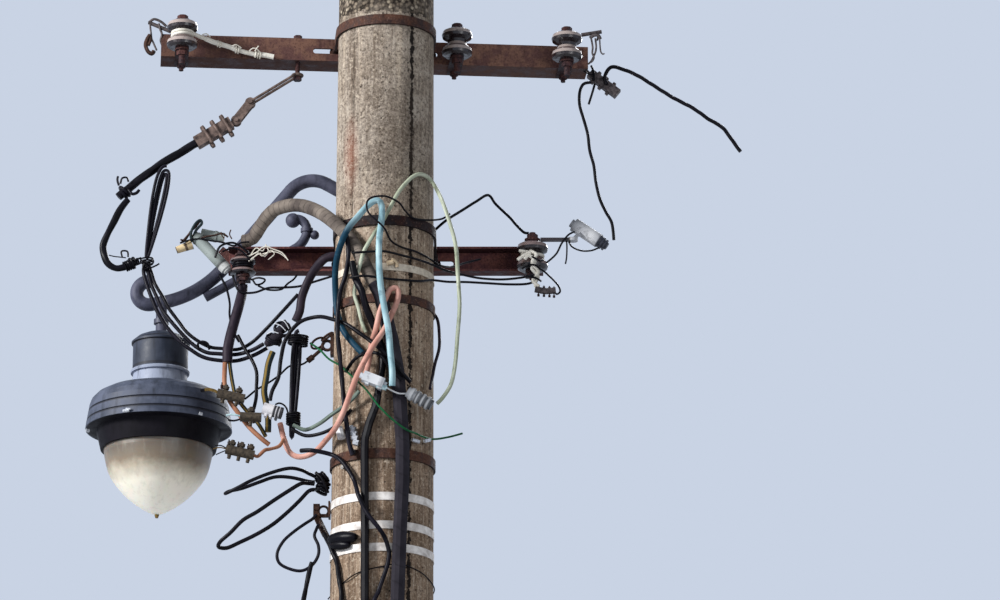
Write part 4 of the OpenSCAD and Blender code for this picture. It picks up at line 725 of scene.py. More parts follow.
# %% Service cables
routed("hairpin_upper", 9, "black", node="service_loops", points=[
    (-166.2, -20, 4585), (-180, -22, 4591), (-200, -45, 4595), (-230, -60, 4595), (-275, -70, 4580),
    (-320, -75, 4560), (-350, -70, 4545), (-375, -60, 4535), (-385, -45, 4535), (-375, -30, 4545),
    (-345, -20, 4555), (-305, -20, 4570), (-265, -15, 4585), (-225, -10, 4585), (-182, -2, 4577),
    (-166.8, -1, 4576)])
routed("hairpin_lower", 10, "black", node="service_loops", points=[
    (-167.6, -20, 4566), (-182, -26, 4566), (-200, -45, 4560), (-230, -50, 4540), (-265, -55, 4515),
    (-305, -60, 4485), (-340, -55, 4465), (-370, -50, 4435), (-395, -40, 4415), (-400, -25, 4405),
    (-380, -15, 4405), (-350, -10, 4420), (-310, -10, 4440), (-270, -10, 4465), (-235, -10, 4495),
    (-205, -10, 4525), (-182, -4, 4552), (-167.5, -3, 4556)])
routed("service_coil", 8, "grey_black", node="service_loops", points=[
    (-162, -15.3, 4489), (-171, -20, 4477), (-190, -35, 4460), (-215, -40, 4440), (-240, -45, 4415),
    (-255, -45, 4385), (-250, -45, 4360), (-225, -45, 4345), (-195, -45, 4340), (-170, -40, 4355),
    (-155, -40, 4380), (-155, -40, 4405), (-165, -35, 4430), (-160, -30, 4450), (-156, -21.9, 4462)])
routed("service_drop", 12, "black", node="service_cables", cores=2, points=[
    (-141, -30, 4437), (-130, -50, 4410), (-120, -65, 4385), (-110, -75, 4360), (-105, -85, 4335),
    (-100, -90, 4300), (-95, -95, 4270), (-95, -100, 4240), (-95, -97, 4150), (-96, -99, 3850),
    (-96, -100.7, 3500), (-96, -102.3, 3212)])
routed("service_tail", 12, "black", node="service_cables", cores=2, points=[
    (-170, -50, 4360), (-175, -50, 4340), (-180, -50, 4315), (-185, -45, 4290), (-190, -40, 4265),
    (-195, -40, 4235)])
print("two hairpins, a coil, a drop and a tail")

# %% [markdown]
# ## The hanks and the knot
# The middle hank is two turns of a 10 mm cable, and the long hank is three turns of an 8 mm one. The
# slack beside the middle hank is wound into two small coils, with a taped lump in the heart of each.

# %% The hanks and the knot
HANK_STEP = mm(4)
MIDDLE_TOP = (-0.212, 0, 4.9538)
MIDDLE_FOOT = (-0.226, 0, 4.69)
LONG_TOP = (-0.562, 0.0985, 5.41)
LONG_FOOT = (-0.603, 0.0985, 5.192)

middle_line = smooth_line(
    hank_line(MIDDLE_TOP, MIDDLE_FOOT, mm(21), mm(10), mm(24), mm(10), 2, (1, 0.4)), HANK_STEP)
cable("hank_middle", middle_line, "cable_hanks", mm(10), GREY_BLACK, 1)
long_line = smooth_line(
    hank_line(LONG_TOP, LONG_FOOT, mm(31), mm(12), mm(20), mm(8), 3, (1, 0.62, 0.3)), HANK_STEP)
cable("hank_long", long_line, "cable_hanks", mm(8), GREY_BLACK, 1)

UPPER_KNOT = (-253.4, 10, 4973.4)
UPPER_AXIS = (0.33, -0.908, 0.259)
LOWER_KNOT = (-274, -3.6, 4942)
LOWER_AXIS = (0.41, -0.574, 0.709)
KNOT_STEPS = 16
knot_line = smooth_line(metres(
    winding(UPPER_KNOT, UPPER_AXIS, SIDEWAYS, 19.5, 19.5, 2.25, 4.5, KNOT_STEPS)
    + winding(LOWER_KNOT, LOWER_AXIS, SIDEWAYS, 18.5, 18.5, 2.5, 5, KNOT_STEPS)), HANK_STEP)

LUMP_END = 0.35
LUMP_CURVE = 0.6
LUMP_STEP = mm(2.5)
LUMP_SMOOTH = 60


def lump_width(share):
    """How thick a taped lump is along its length: narrow at both ends."""
    return LUMP_END + (1 - LUMP_END) * math.sin(math.pi * share) ** LUMP_CURVE


def lump(start, end, width, look, name):
    """A taped lump between two points, all in mm."""
    line = smooth_line(metres([start, end]), LUMP_STEP)
    return piece(name, tube_mesh(name, line, mm(width), swell=lump_width), look, LUMP_SMOOTH)


BLACK_TAPE = SHEATHS["black_tape"]
upper_lump = lump((-270, 4, 4961), (-236, 8, 4986), 24, BLACK_TAPE, "taped_lump_upper")
lower_lump = lump((-295, -6, 4928), (-252, -4, 4958), 27, BLACK_TAPE, "taped_lump_lower")
stripes = wires("knot_tape", WHITE_TAPE,
      (2.6, [(-262, -14, 4992), (-247, -17, 4985), (-236, -13, 4968)], 8),
      (2.2, [(-273, -11, 4982), (-257, -16, 4975), (-244, -14, 4962)], 8),
      (2.8, [(-290, -15.5, 4953), (-277, -20, 4958), (-262, -19, 4954)], 8))
cable("slack_knot", knot_line, "cable_knot", mm(7), GREY_BLACK, 1)

# %% [markdown]
# ## Weathered concrete
# The pole is cast concrete. Its skin shows coarse sand, small air holes left by the mould, dark streaks
# where rain runs down, and two upright seams where the mould's halves met. The seam at the right has
# lost its edge and reads as a black, jagged line. The head is washed grey and grainy, and the part below
# the arms is browner and streaked. The foot, which the photograph doesn't show, is plain and greyer.
# Above the top collar the skin is gone and the gravel shows. All of it is made in object coordinates,
# which are metres from the pole's foot.

# %% Concrete
SEAM_X = 0.068
FAINT_SEAM_X = -0.078
SEAM_WANDER = 0.012
SEAM_RAGGED = 2.1
# a stain or cloud: its middle in metres, how fast it fades along x, y and z, its strength, its tint
RUST_STAIN = ((-0.083, -0.088, 5.40), (38, 14, 8), 0.9, "#8f4c33")
DAMP_CLOUD = ((0.025, -0.115, 5.43), (7.5, 4, 3.8), 1.0, "#463a30")
GREY_FROM = 5.12
GREY_ABOVE = 5.34
BROWN_FROM = 4.95
BROWN_BELOW = 4.45
CLEAN_FROM = 4.2
CLEAN_BELOW = 3.3
FOOT_GREY = 0.7
FOOT_CALM = 0.7
FOOT_PALE = 0.8
HEAD_CLEAR = 0.75
STREAK_MIDDLE = 0.48
GRAVEL_Z = 5.775
GRAVEL_RAGGED = 0.08


def calmed(tree, pattern, calm):
    """A streak pattern drawn towards its middle as far as `calm` says: 1 leaves it as it is."""
    from_middle = add(tree, MATH, {0: pattern, 1: -STREAK_MIDDLE})
    return add(tree, MATH, {0: from_middle, 1: calm, 2: STREAK_MIDDLE}, operation="MULTIPLY_ADD")


def concrete():
    """Cast concrete with sand, air holes, seams, rain streaks, a rust stain and bare gravel on top."""
    made, tree, here = new_tree("cast_concrete")
    x, y, z = (add(tree, SPLIT, {0: here}, axis) for axis in (X, Y, Z))
    broad = add(tree, NOISE, {"Vector": here, "Scale": per_mm(260), "Detail": 5, "Roughness": 0.62})
    cloudy = add(tree, NOISE, {"Vector": here, "Scale": per_mm(60), "Detail": 6, "Roughness": 0.65})
    sand = add(tree, NOISE, {"Vector": here, "Scale": per_mm(8), "Detail": 5, "Roughness": 0.8})
    grit = add(tree, NOISE, {"Vector": here, "Scale": per_mm(4), "Detail": 3, "Roughness": 0.75})
    tall = add(tree, SCALED, {"Vector": here, "Scale": (1, 1, 0.05)})
    runs = add(tree, NOISE, {"Vector": tall, "Scale": per_mm(24), "Detail": 5, "Roughness": 0.6})
    fibres = add(tree, NOISE, {"Vector": tall, "Scale": per_mm(7), "Detail": 4, "Roughness": 0.7})
    brown = add(tree, RAMP, {0: cloudy}, stops=[(0.3, "#826c5a"), (0.5, "#a58e7a"), (0.7, "#c2ad97")])
    grey = add(tree, RAMP, {0: cloudy}, stops=[(0.3, "#7f7368"), (0.5, "#a3978a"), (0.7, "#c3b8ab")])
    high = add(tree, SPAN, {"Value": z, "From Min": GREY_FROM, "From Max": GREY_ABOVE})
    foot = add(tree, SPAN, {"Value": z, "From Min": CLEAN_FROM, "From Max": CLEAN_BELOW})
    high = add(tree, MATH, {0: foot, 1: FOOT_GREY, 2: high}, operation="MULTIPLY_ADD")
    calm = add(tree, MATH, {0: foot, 1: -FOOT_CALM, 2: 1}, operation="MULTIPLY_ADD")
    runs = calmed(tree, runs, calm)
    fibres = calmed(tree, fibres, calm)
    fading = add(tree, MATH, {0: high, 1: -HEAD_CLEAR, 2: 1}, operation="MULTIPLY_ADD")
    dark_fibres = add(tree, RAMP, {0: fibres}, stops=[(0.5, 0), (0.62, 0.6)])
    dark_fibres = add(tree, MATH, {0: dark_fibres, 1: fading}, operation="MULTIPLY")
    speckle = add(tree, RAMP, {0: sand}, stops=[(0.5, 0), (0.62, 0.45)])
    speckle = add(tree, MATH, {0: speckle, 1: high}, operation="MULTIPLY")
    low = add(tree, SPAN, {"Value": z, "From Min": BROWN_FROM, "From Max": BROWN_BELOW})
    low = add(tree, MATH, {0: foot, 1: -FOOT_PALE, 2: low}, operation="MULTIPLY_ADD")
    spots = {"Vector": here, "Scale": per_mm(15), "Randomness": 1}
    wanted = add(tree, RAMP, {0: add(tree, CELLS, spots, "Color")}, stops=[(0.6, 0), (0.61, 1)])
    hole = add(tree, RAMP, {0: add(tree, CELLS, spots, "Distance")}, stops=[(0.1, 0.9), (0.17, 0)])
    hole = add(tree, MATH, {0: hole, 1: wanted}, operation="MULTIPLY")
    colour = layered(
        tree, brown,
        (high, None, grey),
        (broad, [(0.42, 0), (0.66, 0.5)], "#75685a"),
        (runs, [(0.5, 0), (0.66, 0.7)], "#5b4c3f"),
        (runs, [(0.3, 0.5), (0.44, 0)], "#cdbca7"),
        (low, [(0, 0), (1, 0.45)], "#7d6651"),
        (dark_fibres, [(0, 0), (1, 1)], "#56473b"),
        (fibres, [(0.34, 0.4), (0.45, 0)], "#d0c4b6"),
        (speckle, [(0, 0), (1, 1)], "#3f3731"),
        (sand, [(0.52, 0), (0.64, 0.58)], "#4a3d33"),
        (sand, [(0.36, 0.6), (0.45, 0)], "#dccdb8"),
        (grit, [(0.56, 0), (0.68, 0.5)], "#332a23"),
        (hole, None, "#251f1b"))

    front = add(tree, MATH, {0: y, 1: 0.0}, operation="LESS_THAN")
    wander = add(tree, NOISE, {"Vector": here, "Scale": per_mm(34), "Detail": 5, "Roughness": 0.75})
    wander = add(tree, MATH, {0: wander, 1: SEAM_WANDER, 2: x}, operation="MULTIPLY_ADD")
    ragged = add(tree, NOISE, {"Vector": here, "Scale": per_mm(14), "Detail": 4, "Roughness": 0.7})
    ragged = add(tree, RAMP, {0: ragged}, stops=[(0.38, 0), (0.66, 1)])
    seams = []
    for centre, width, darkest in ((SEAM_X, 3.0, 0.97), (FAINT_SEAM_X, 1.5, 0.4)):
        away = add(tree, MATH, {0: wander, 1: centre + SEAM_WANDER / 2}, operation="SUBTRACT")
        away = add(tree, MATH, {0: away}, operation="ABSOLUTE")
        away = add(tree, MATH, {0: ragged, 1: -mm(width) * SEAM_RAGGED, 2: away}, operation="MULTIPLY_ADD")
        away = add(tree, MATH, {0: away, 1: per_mm(width)}, operation="MULTIPLY")
        line = add(tree, RAMP, {0: away}, stops=[(0.0, darkest), (0.35, 0)])
        line = add(tree, MATH, {0: line, 1: front}, operation="MULTIPLY")
        colour = layered(tree, colour, (line, None, "#15100e"))
        seams.append(line)

    for place, spread, share, tint in (RUST_STAIN, DAMP_CLOUD):
        near = add(tree, VECTOR, {0: here, 1: place}, operation="SUBTRACT")
        near = add(tree, SCALED, {"Vector": near, "Scale": spread})
        away = add(tree, VECTOR, {0: near}, "Value", operation="LENGTH")
        stain = add(tree, RAMP, {0: away}, stops=[(0.1, share), (0.95, 0)])
        stain = add(tree, MATH, {0: stain, 1: sand}, operation="MULTIPLY")
        colour = layered(tree, colour, (stain, None, tint))

    above = add(tree, MATH, {0: cloudy, 1: GRAVEL_RAGGED, 2: z}, operation="MULTIPLY_ADD")
    bare = add(tree, MATH, {0: above, 1: GRAVEL_Z + GRAVEL_RAGGED / 2}, operation="GREATER_THAN")
    pebbles = {"Vector": here, "Scale": per_mm(10), "Randomness": 1}
    apart = add(tree, CELLS, pebbles, "Distance")
    shade = add(tree, RAMP, {0: add(tree, CELLS, pebbles, "Color")},
                stops=[(0, "#3a322b"), (0.4, "#6f6356"), (0.75, "#9c8f7d"), (1, "#cfc2ad")])
    pebble = layered(tree, shade, (apart, [(0.3, 0), (0.6, 0.95)], "#211b17"))
    patch = add(tree, RAMP, {0: cloudy}, stops=[(0.44, 1), (0.62, 0.6)])
    bare = add(tree, MATH, {0: bare, 1: patch}, operation="MULTIPLY")
    colour = layered(tree, colour, (bare, None, pebble))

    relief = add(tree, MATH, {0: grit, 1: 0.8, 2: sand}, operation="MULTIPLY_ADD")
    loose = add(tree, MATH, {0: bare, 1: apart}, operation="MULTIPLY")
    for pattern, deep in ((hole, -1.4), (seams[0], -1.8), (loose, -2.0)):
        relief = add(tree, MATH, {0: pattern, 1: deep, 2: relief}, operation="MULTIPLY_ADD")
    return close(made, tree, colour, 0.92, relief, 1.8, 0.9, DULL)


CONCRETE = concrete()
print("concrete: seams at", SEAM_X, "and", FAINT_SEAM_X)

# %% [markdown]
# ## Rusty, painted and galvanised steel
# The arms and collars are hot-rolled steel that was painted once. The rust has come through in scabs: it
# is dull and rough, a purple brown, and redder where it is fresh. Painted shade darkens the faces that
# look down, and the top arm towards its left end.
# The bright straps are stainless. The small fittings are zinc-coated, with grey crystals where the zinc
# still holds, and the clamp that held the line has begun to rust through its zinc.

# %% Metals
def rusty_steel(name, paint, rust, dark, amount=0.5, sooty=None):
    """Painted steel that rust has come through, with painted shade underneath and towards one end."""
    made, tree, here = new_tree(name)
    scabs = add(tree, NOISE, {"Vector": here, "Scale": per_mm(38), "Detail": 7, "Roughness": 0.7})
    grain = add(tree, NOISE, {"Vector": here, "Scale": per_mm(5), "Detail": 4, "Roughness": 0.75})
    tall = add(tree, SCALED, {"Vector": here, "Scale": (1, 1, 0.12)})
    runs = add(tree, NOISE, {"Vector": tall, "Scale": per_mm(16), "Detail": 4, "Roughness": 0.6})
    colour = add(tree, RAMP, {0: scabs}, stops=[(amount - 0.08, paint), (amount + 0.06, rust)])
    # Painted shade: the last layer darkens the faces that look down.
    colour = layered(
        tree, colour,
        (runs, [(0.52, 0), (0.7, 0.5)], dark),
        (grain, [(0.52, 0), (0.66, 0.7)], dark),
        (grain, [(0.32, 0.45), (0.42, 0)], "#8d7468"),
        (facing_up(tree), [(0.1, 0.7), (0.4, 0)], dark))
    # Painted shade, not soot: the colour darkens towards one end of the piece, along x.
    if sooty:
        x = add(tree, SPLIT, {0: here}, X)
        soot = add(tree, SPAN, {"Value": x, "From Min": sooty[0], "From Max": sooty[1]})
        soot = add(tree, MATH, {0: soot, 1: 0.55}, operation="MULTIPLY")
        colour = layered(tree, colour, (soot, None, dark))
    dull = add(tree, RAMP, {0: scabs}, stops=[(0.4, 0.55), (0.6, 0.88)])
    height = add(tree, MATH, {0: scabs, 1: 1.5, 2: grain}, operation="MULTIPLY_ADD")
    return close(made, tree, colour, dull, height, 1.1, 0.8, DULL)


def bare_metal(name, light, dark, roughness, metallic=1.0, size_mm=9):
    """Zinc-coated, stainless or cast metal, dulled in patches."""
    made, tree, here = new_tree(name)
    patches = add(tree, NOISE, {"Vector": here, "Scale": per_mm(size_mm), "Detail": 5, "Roughness": 0.6})
    fine = add(tree, NOISE, {"Vector": here, "Scale": per_mm(1.5), "Detail": 2})
    colour = add(tree, RAMP, {0: patches}, stops=[(0.35, light), (0.7, dark)])
    dull = add(tree, RAMP, {0: patches}, stops=[(0.3, roughness), (0.7, roughness + 0.2)])
    height = add(tree, MATH, {0: patches, 1: 0.6, 2: fine}, operation="MULTIPLY_ADD")
    return close(made, tree, colour, dull, height, 0.3, 0.5, {"Metallic": metallic})


TOP_ARM_STEEL = rusty_steel("painted_angle_steel_top", "#684843", "#8c6858", "#33201f", 0.52, (0.3, -0.45))
ARM_STEEL = rusty_steel("painted_angle_steel", "#5b3539", "#7b4f49", "#231317", 0.52)
COLLAR_STEEL = rusty_steel("rusty_band_steel", "#34231f", "#54382d", "#160f0f", 0.48)
DARK_STEEL = rusty_steel("blackened_band_steel", "#1d1517", "#33201d", "#0c090b", 0.55)
BRACKET_STEEL = rusty_steel("rusty_flat_bar", "#37262a", "#533532", "#171116", 0.5)
HOOK_STEEL = rusty_steel("rusty_hook_steel", "#2c1d1b", "#463027", "#130c0c", 0.45)
ZINC = bare_metal("zinc_coated_steel", "#8d8b86", "#4e4946", 0.5)
STRAP = bare_metal("stainless_strap", "#ece7e2", "#a9a19b", 0.5, 0.15, 26)
BRASS = bare_metal("dull_brass", "#8a7040", "#4d3c22", 0.45)
BRONZE = bare_metal("dirty_bronze", "#4d4234", "#221c18", 0.7, 0.35, 7)
DARK_ZINC = bare_metal("sooty_zinc_steel", "#5d5453", "#1f191b", 0.55, 0.5, 8)
RUSTED_ZINC = bare_metal("rusted_zinc_steel", "#7a675e", "#2a1f1e", 0.6, 0.4, 16)
SILVER = bare_metal("bright_aluminium", "#d8dade", "#8d9096", 0.38, 0.75, 6)
print("metals: six rusty steels, clean, sooty and rusted zinc, stainless, brass, bronze and aluminium")

# %% [markdown]
# ## Glazed porcelain, lamp paint and frosted glass
# The spool insulators are glazed porcelain: a hard gloss under a film of soot. The lamp's shells are
# cast and spun aluminium under a blue-grey coat that has gone matt: it is pale on the upper edges and
# dirty in the grooves. Its bowl is frosted glass that yellows a little towards the rim, where dust
# collects.

# %% Ceramics, paint and glass
GROOVE_TINT = "#191a22"


def glazed(name, light, mid, dark, soot):
    """Glazed porcelain with a soot film, painted light on the upper rims and painted shade where it looks
    down.
    """
    made, tree, here = new_tree(name)
    tall = add(tree, SCALED, {"Vector": here, "Scale": (1, 1, 0.4)})
    flow = add(tree, NOISE, {"Vector": tall, "Scale": per_mm(20), "Detail": 4, "Roughness": 0.6})
    film = add(tree, NOISE, {"Vector": here, "Scale": per_mm(11), "Detail": 6, "Roughness": 0.7})
    # Painted light and shade: the colour runs from dark where the surface looks down to light where it looks
    # up.
    up = add(tree, MATH, {0: flow, 1: 0.16, 2: facing_up(tree)}, operation="MULTIPLY_ADD")
    colour = add(tree, RAMP, {0: up}, stops=[
        (0.44, dark), (0.56, mid), (0.66, light), (0.82, light), (1, mid)])
    colour = layered(tree, colour, (film, [(0.54, 0), (0.7, 0.7)], soot))
    dull = add(tree, RAMP, {0: film}, stops=[(0.46, 0.16), (0.66, 0.7)])
    return close(made, tree, colour, dull, film, 0.25, 0.5, {"Coat Weight": 0.1, "Coat Roughness": 0.3})


def lamp_coat(name, body, worn, grime, grooves=(), pale_below=None, shine=0.3):
    """Matt coat on aluminium: rain streaks, dark grooves (height, half width in mm), a pale lower part."""
    made, tree, here = new_tree(name)
    z = add(tree, SPLIT, {0: here}, Z)
    tall = add(tree, SCALED, {"Vector": here, "Scale": (1, 1, 0.1)})
    runs = add(tree, NOISE, {"Vector": tall, "Scale": per_mm(20), "Detail": 5, "Roughness": 0.62})
    film = add(tree, NOISE, {"Vector": here, "Scale": per_mm(55), "Detail": 6, "Roughness": 0.66})
    fine = add(tree, NOISE, {"Vector": here, "Scale": per_mm(1.8), "Detail": 2})
    colour = add(tree, RAMP, {0: film}, stops=[(0.4, body), (0.64, worn)])
    if pale_below:
        limit, tint = pale_below
        low = add(tree, MATH, {0: z, 1: limit}, operation="LESS_THAN")
        colour = layered(tree, colour, (low, None, tint))
    colour = layered(tree, colour, (runs, [(0.5, 0), (0.68, 0.7)], grime))
    for height_m, half_mm in grooves:
        away = add(tree, MATH, {0: z, 1: height_m}, operation="SUBTRACT")
        away = add(tree, MATH, {0: away}, operation="ABSOLUTE")
        away = add(tree, MATH, {0: away, 1: per_mm(half_mm)}, operation="MULTIPLY")
        colour = layered(tree, colour, (away, [(0.5, 0.9), (1, 0)], GROOVE_TINT))
    dull = add(tree, RAMP, {0: film}, stops=[(0.35, 0.42), (0.68, 0.72)])
    height = add(tree, MATH, {0: runs, 1: 0.6, 2: fine}, operation="MULTIPLY_ADD")
    return close(made, tree, colour, dull, height, 0.25, 0.45, {"Specular IOR Level": shine})


def frosted_glass(foot, rim):
    """Frosted glass bowl, pale below, with brown dust near the rim, and a faint painted glow below."""
    made, tree, here = new_tree("frosted_glass")
    z = add(tree, SPLIT, {0: here}, Z)
    rise = add(tree, SPAN, {"Value": z, "From Min": foot, "From Max": rim})
    dust = add(tree, NOISE, {"Vector": here, "Scale": per_mm(55), "Detail": 6, "Roughness": 0.65})
    uneven = add(tree, MATH, {0: dust, 1: 0.24, 2: rise}, operation="MULTIPLY_ADD")
    colour = add(tree, RAMP, {0: uneven}, stops=[
        (0.1, "#f1ecdf"), (0.5, "#e4dece"), (0.66, "#bcb2a0"), (0.8, "#7f7261"), (0.98, "#665c51")])
    # Painted light: a faint glow, strongest at the foot, stands for daylight through the glass.
    painted_glow = add(tree, RAMP, {0: uneven}, stops=[(0.1, 0.14), (0.5, 0.1), (0.76, 0.0)])
    streaked = add(tree, SCALED, {"Vector": here, "Scale": (1, 1, 0.15)})
    runs = add(tree, NOISE, {"Vector": streaked, "Scale": per_mm(14), "Detail": 4, "Roughness": 0.6})
    colour = layered(tree, colour, (runs, [(0.52, 0), (0.7, 0.3)], "#9b9384"))
    return close(made, tree, colour, 0.38, dust, 0.2, 0.35, {
        "Subsurface Weight": 0.25, "Subsurface Scale": mm(14), "Emission Color": "#fff9ee",
        "Emission Strength": painted_glow})


PORCELAIN = glazed("glazed_porcelain", "#a3958f", "#574545", "#1d1518", "#1a1316")
# A darker copy of the same glaze, for the middle spools.
DARKER_PORCELAIN = glazed("darker_porcelain", "#7c6966", "#453335", "#171013", "#120d10")
NECK_COAT = lamp_coat("lamp_coat_neck", "#232936", "#363c4b", "#12151d",
                      ((4.924, 4), (4.986, 3), (4.996, 3)), (4.917, "#8f97aa"))
CANOPY_COAT = lamp_coat("lamp_coat_canopy", "#343a49", "#4f5566", "#1c2029", ((4.8037, 4.5), (4.7790, 4.5)))
SKIRT_COAT = lamp_coat("lamp_coat_shaded", "#0d0b10", "#16141a", "#080709", shine=0.08)
TUBE_COAT = lamp_coat("lamp_coat_tube", "#363848", "#515264", "#1b1c26")
BOWL_FOOT = 4.542
BOWL_RIM = 4.719
GLASS = frosted_glass(BOWL_FOOT, BOWL_RIM)
print("porcelain, four lamp coats and frosted glass")

# %% [markdown]
# ## Moulded plastics and rope
# The connectors are glass-filled nylon, and the sleeve on the strap's buckle is soft PVC. The sun has
# chalked them: the surface is matt and paler in patches, with soot in the corners. The same recipe serves
# for the strap's paint, and for cotton rope, which is only rougher. A connector's body, collar and black
# rings share one node of the model, so their material runs a row of bands along each part's own axis.

# %% Plastics
def chalky(made, tree, here, colour, size_mm, soot, stops, roughness):
    """Closes a matt moulded surface, with soot in patches; a list of stops as colour follows its film."""
    film = add(tree, NOISE, {"Vector": here, "Scale": per_mm(size_mm), "Detail": 6, "Roughness": 0.66})
    fine = add(tree, NOISE, {"Vector": here, "Scale": per_mm(1.4), "Detail": 2})
    if isinstance(colour, list):
        colour = add(tree, RAMP, {0: film}, stops=colour)
    colour = layered(tree, colour, (film, stops, soot))
    height = add(tree, MATH, {0: film, 1: 0.5, 2: fine}, operation="MULTIPLY_ADD")
    return close(made, tree, colour, roughness, height, 0.15, 0.5)


def plastic(name, body, chalk, soot, roughness=0.5):
    """Moulded plastic, chalky and sooty."""
    made, tree, here = new_tree(name)
    worn = [(0.36, body), (0.6, chalk)]
    return chalky(made, tree, here, worn, 18, soot, [(0.58, 0), (0.75, 0.8)], roughness)


def moulded(name, parts, soot):
    """Moulded parts that share a node: each has bands along its axis, and a test of x, y or z picks it."""
    made, tree, here = new_tree(name)
    colour = None
    for start, end, bands, axis, side, limit in parts:
        start, end = metres([start, end])
        run = end - start
        away = add(tree, VECTOR, {0: here, 1: start}, operation="SUBTRACT")
        share = add(tree, VECTOR, {0: away, 1: run / run.length_squared}, "Value", operation="DOT_PRODUCT")
        banded = add(tree, RAMP, {0: share}, stops=bands)
        if colour:
            picked = add(tree, MATH, {0: add(tree, SPLIT, {0: here}, axis), 1: mm(limit)}, operation=side)
            banded = layered(tree, colour, (picked, None, banded))
        colour = banded
    return chalky(made, tree, here, colour, 14, soot, [(0.54, 0), (0.72, 0.7)], 0.5)


WHITE_PLASTIC = plastic("white_nylon", "#c6c7ca", "#e6e7ea", "#85848a")
BEIGE_PLASTIC = plastic("beige_sleeve_pvc", "#b8a082", "#d3bf9f", "#5c4f42")
BEIGE_PAINT = plastic("beige_strap_paint", "#b3a797", "#ddd3c2", "#463b33", 0.6)
WHITE_ROPE = (plastic("white_cotton_rope", "#cdc8bc", "#e6e3da", "#8e877a", 0.85), "white_plastic")
# Painted shade: the first barrel's bands are dark in the gap at its start and darker towards its clip than in
# the middle.
LEFT_NYLON = moulded("weathered_shaded_nylon_left", [
    ((-479, 60, 5233), (-400, 60, 5147),
     [(0, "#4d5350"), (0.06, "#7f8885"), (0.5, "#929b98"), (0.8, "#747c79"), (0.86, "#2c2a2a"),
      (0.9, "#b5b6b4")], X, "LESS_THAN", 0),
    ((-466, 80, 5247), (-408, 80, 5235),
     [(0.1, "#b9b4a8"), (0.7, "#c9c5ba"), (0.78, "#5d3a2c"), (0.9, "#5d3a2c"), (0.94, "#bdb7ab")],
     Y, "GREATER_THAN", 76.5),
    ((-527, 62, 5197), (-487, 62, 5213),
     [(0, "#3a2c20"), (0.08, "#c2ab82"), (0.5, "#cdb78f"), (0.56, "#54402c"), (0.66, "#54402c"),
      (0.7, "#bfa982")], X, "LESS_THAN", -485),
], "#4a443e")
# Painted shade: the barrel's bands run from dark at its start to pale towards its end, before its dark ribs.
RIGHT_NYLON = moulded("weathered_shaded_nylon_right", [
    ((478, 110, 5281), (541, 110, 5237),
     [(0, "#66696f"), (0.3, "#a3a5aa"), (0.7, "#cfd0d3"), (0.95, "#a9abb0"), (1, "#171a28")],
     X, "LESS_THAN", 0),
    ((392, 80, 5240), (470, 80, 5240), [(0, "#2a1c20"), (0.9, "#1a1418")], X, "LESS_THAN", 468),
], "#2c2b30")
CAP_NYLON = moulded("weathered_nylon_caps", [
    ((-44.5, -177, 4797), (17.5, -177, 4772),
     [(0, "#c3c7cd"), (0.6, "#d8dade"), (0.75, "#8d9096"), (0.9, "#b9bcc2")], X, "LESS_THAN", 0),
    ((-295, -48, 4752), (-247, -48, 4738),
     [(0, "#cfcdd2"), (0.5, "#d9d7da"), (0.56, "#16151a"), (0.64, "#16151a"), (0.68, "#d3d1d5"),
      (0.72, "#16151a"), (0.8, "#16151a"), (0.84, "#c9c7cb"), (0.88, "#16151a")], X, "LESS_THAN", -200),
], "#6d6a6c")
RIBBED_NYLON = moulded("weathered_nylon_ribbed", [
    ((64.1, -159.1, 4762), (124.1, -159.1, 4727),
     [(0, "#8b8d91"), (0.3, "#a8aaae"), (0.36, "#1b1a1e"), (0.42, "#9b9da1"), (0.56, "#1b1a1e"),
      (0.62, "#9b9da1"), (0.76, "#1b1a1e"), (0.82, "#8f9195"), (0.96, "#1b1a1e")], X, "LESS_THAN", 0),
], "#3b3c40")
print("white nylon, beige sleeve, strap paint, cotton rope and four weathered connectors")

# %% [markdown]
# ## Finishes on the model's own pieces
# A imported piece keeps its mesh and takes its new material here.

# %% Finishes
RISER_TAPE = wound_tape("riser_wrap", 46, "#2e2b32", "#211e25", "#17151a", depth_mm=0.5, upright=14)
FINISHES = (
    (CONCRETE, "pole_shaft"),
    (TOP_ARM_STEEL, "top_crossarm"),
    (ARM_STEEL, "middle_crossarm"),
    (COLLAR_STEEL, "top_collar ring_clamp lower_collar"),
    (DARK_STEEL, "middle_collar"),
    (BEIGE_PAINT, "beige_strap"),
    (STRAP, "steel_straps riser_bands"),
    (PORCELAIN, "top_insulators"),
    (DARKER_PORCELAIN, "middle_insulators"),
    (BRACKET_STEEL, "top_insulator_brackets middle_insulator_brackets spare_bolt bracket_clamps"),
    (TUBE_COAT, "lamp_bracket bracket_scroll lamp_stem"),
    (NECK_COAT, "lamp_neck"),
    (CANOPY_COAT, "lamp_canopy"),
    (SKIRT_COAT, "lamp_skirt"),
    (GLASS, "lamp_bowl"),
    (BRASS, "lamp_finial"),
    (RISER_TAPE, "main_riser"),
    (BLACK[0], "second_riser"),
    (RUSTED_ZINC, "strain_fitting"),
    (HOOK_STEEL, "side_hooks"),
    (DARK_ZINC, "top_arm_fittings"),
    (RIGHT_NYLON, "right_connector"),
    (LEFT_NYLON, "left_connectors"),
    (CAP_NYLON, "white_connectors"),
    (RIBBED_NYLON, "ribbed_connector"),
    (BRONZE, "line_taps"),
)

for material, names in FINISHES:
    for name in names.split():
        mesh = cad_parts[name].data
        mesh.materials.clear()
        mesh.materials.append(material)
print("finished", sum(len(names.split()) for _, names in FINISHES), "of the model's pieces")
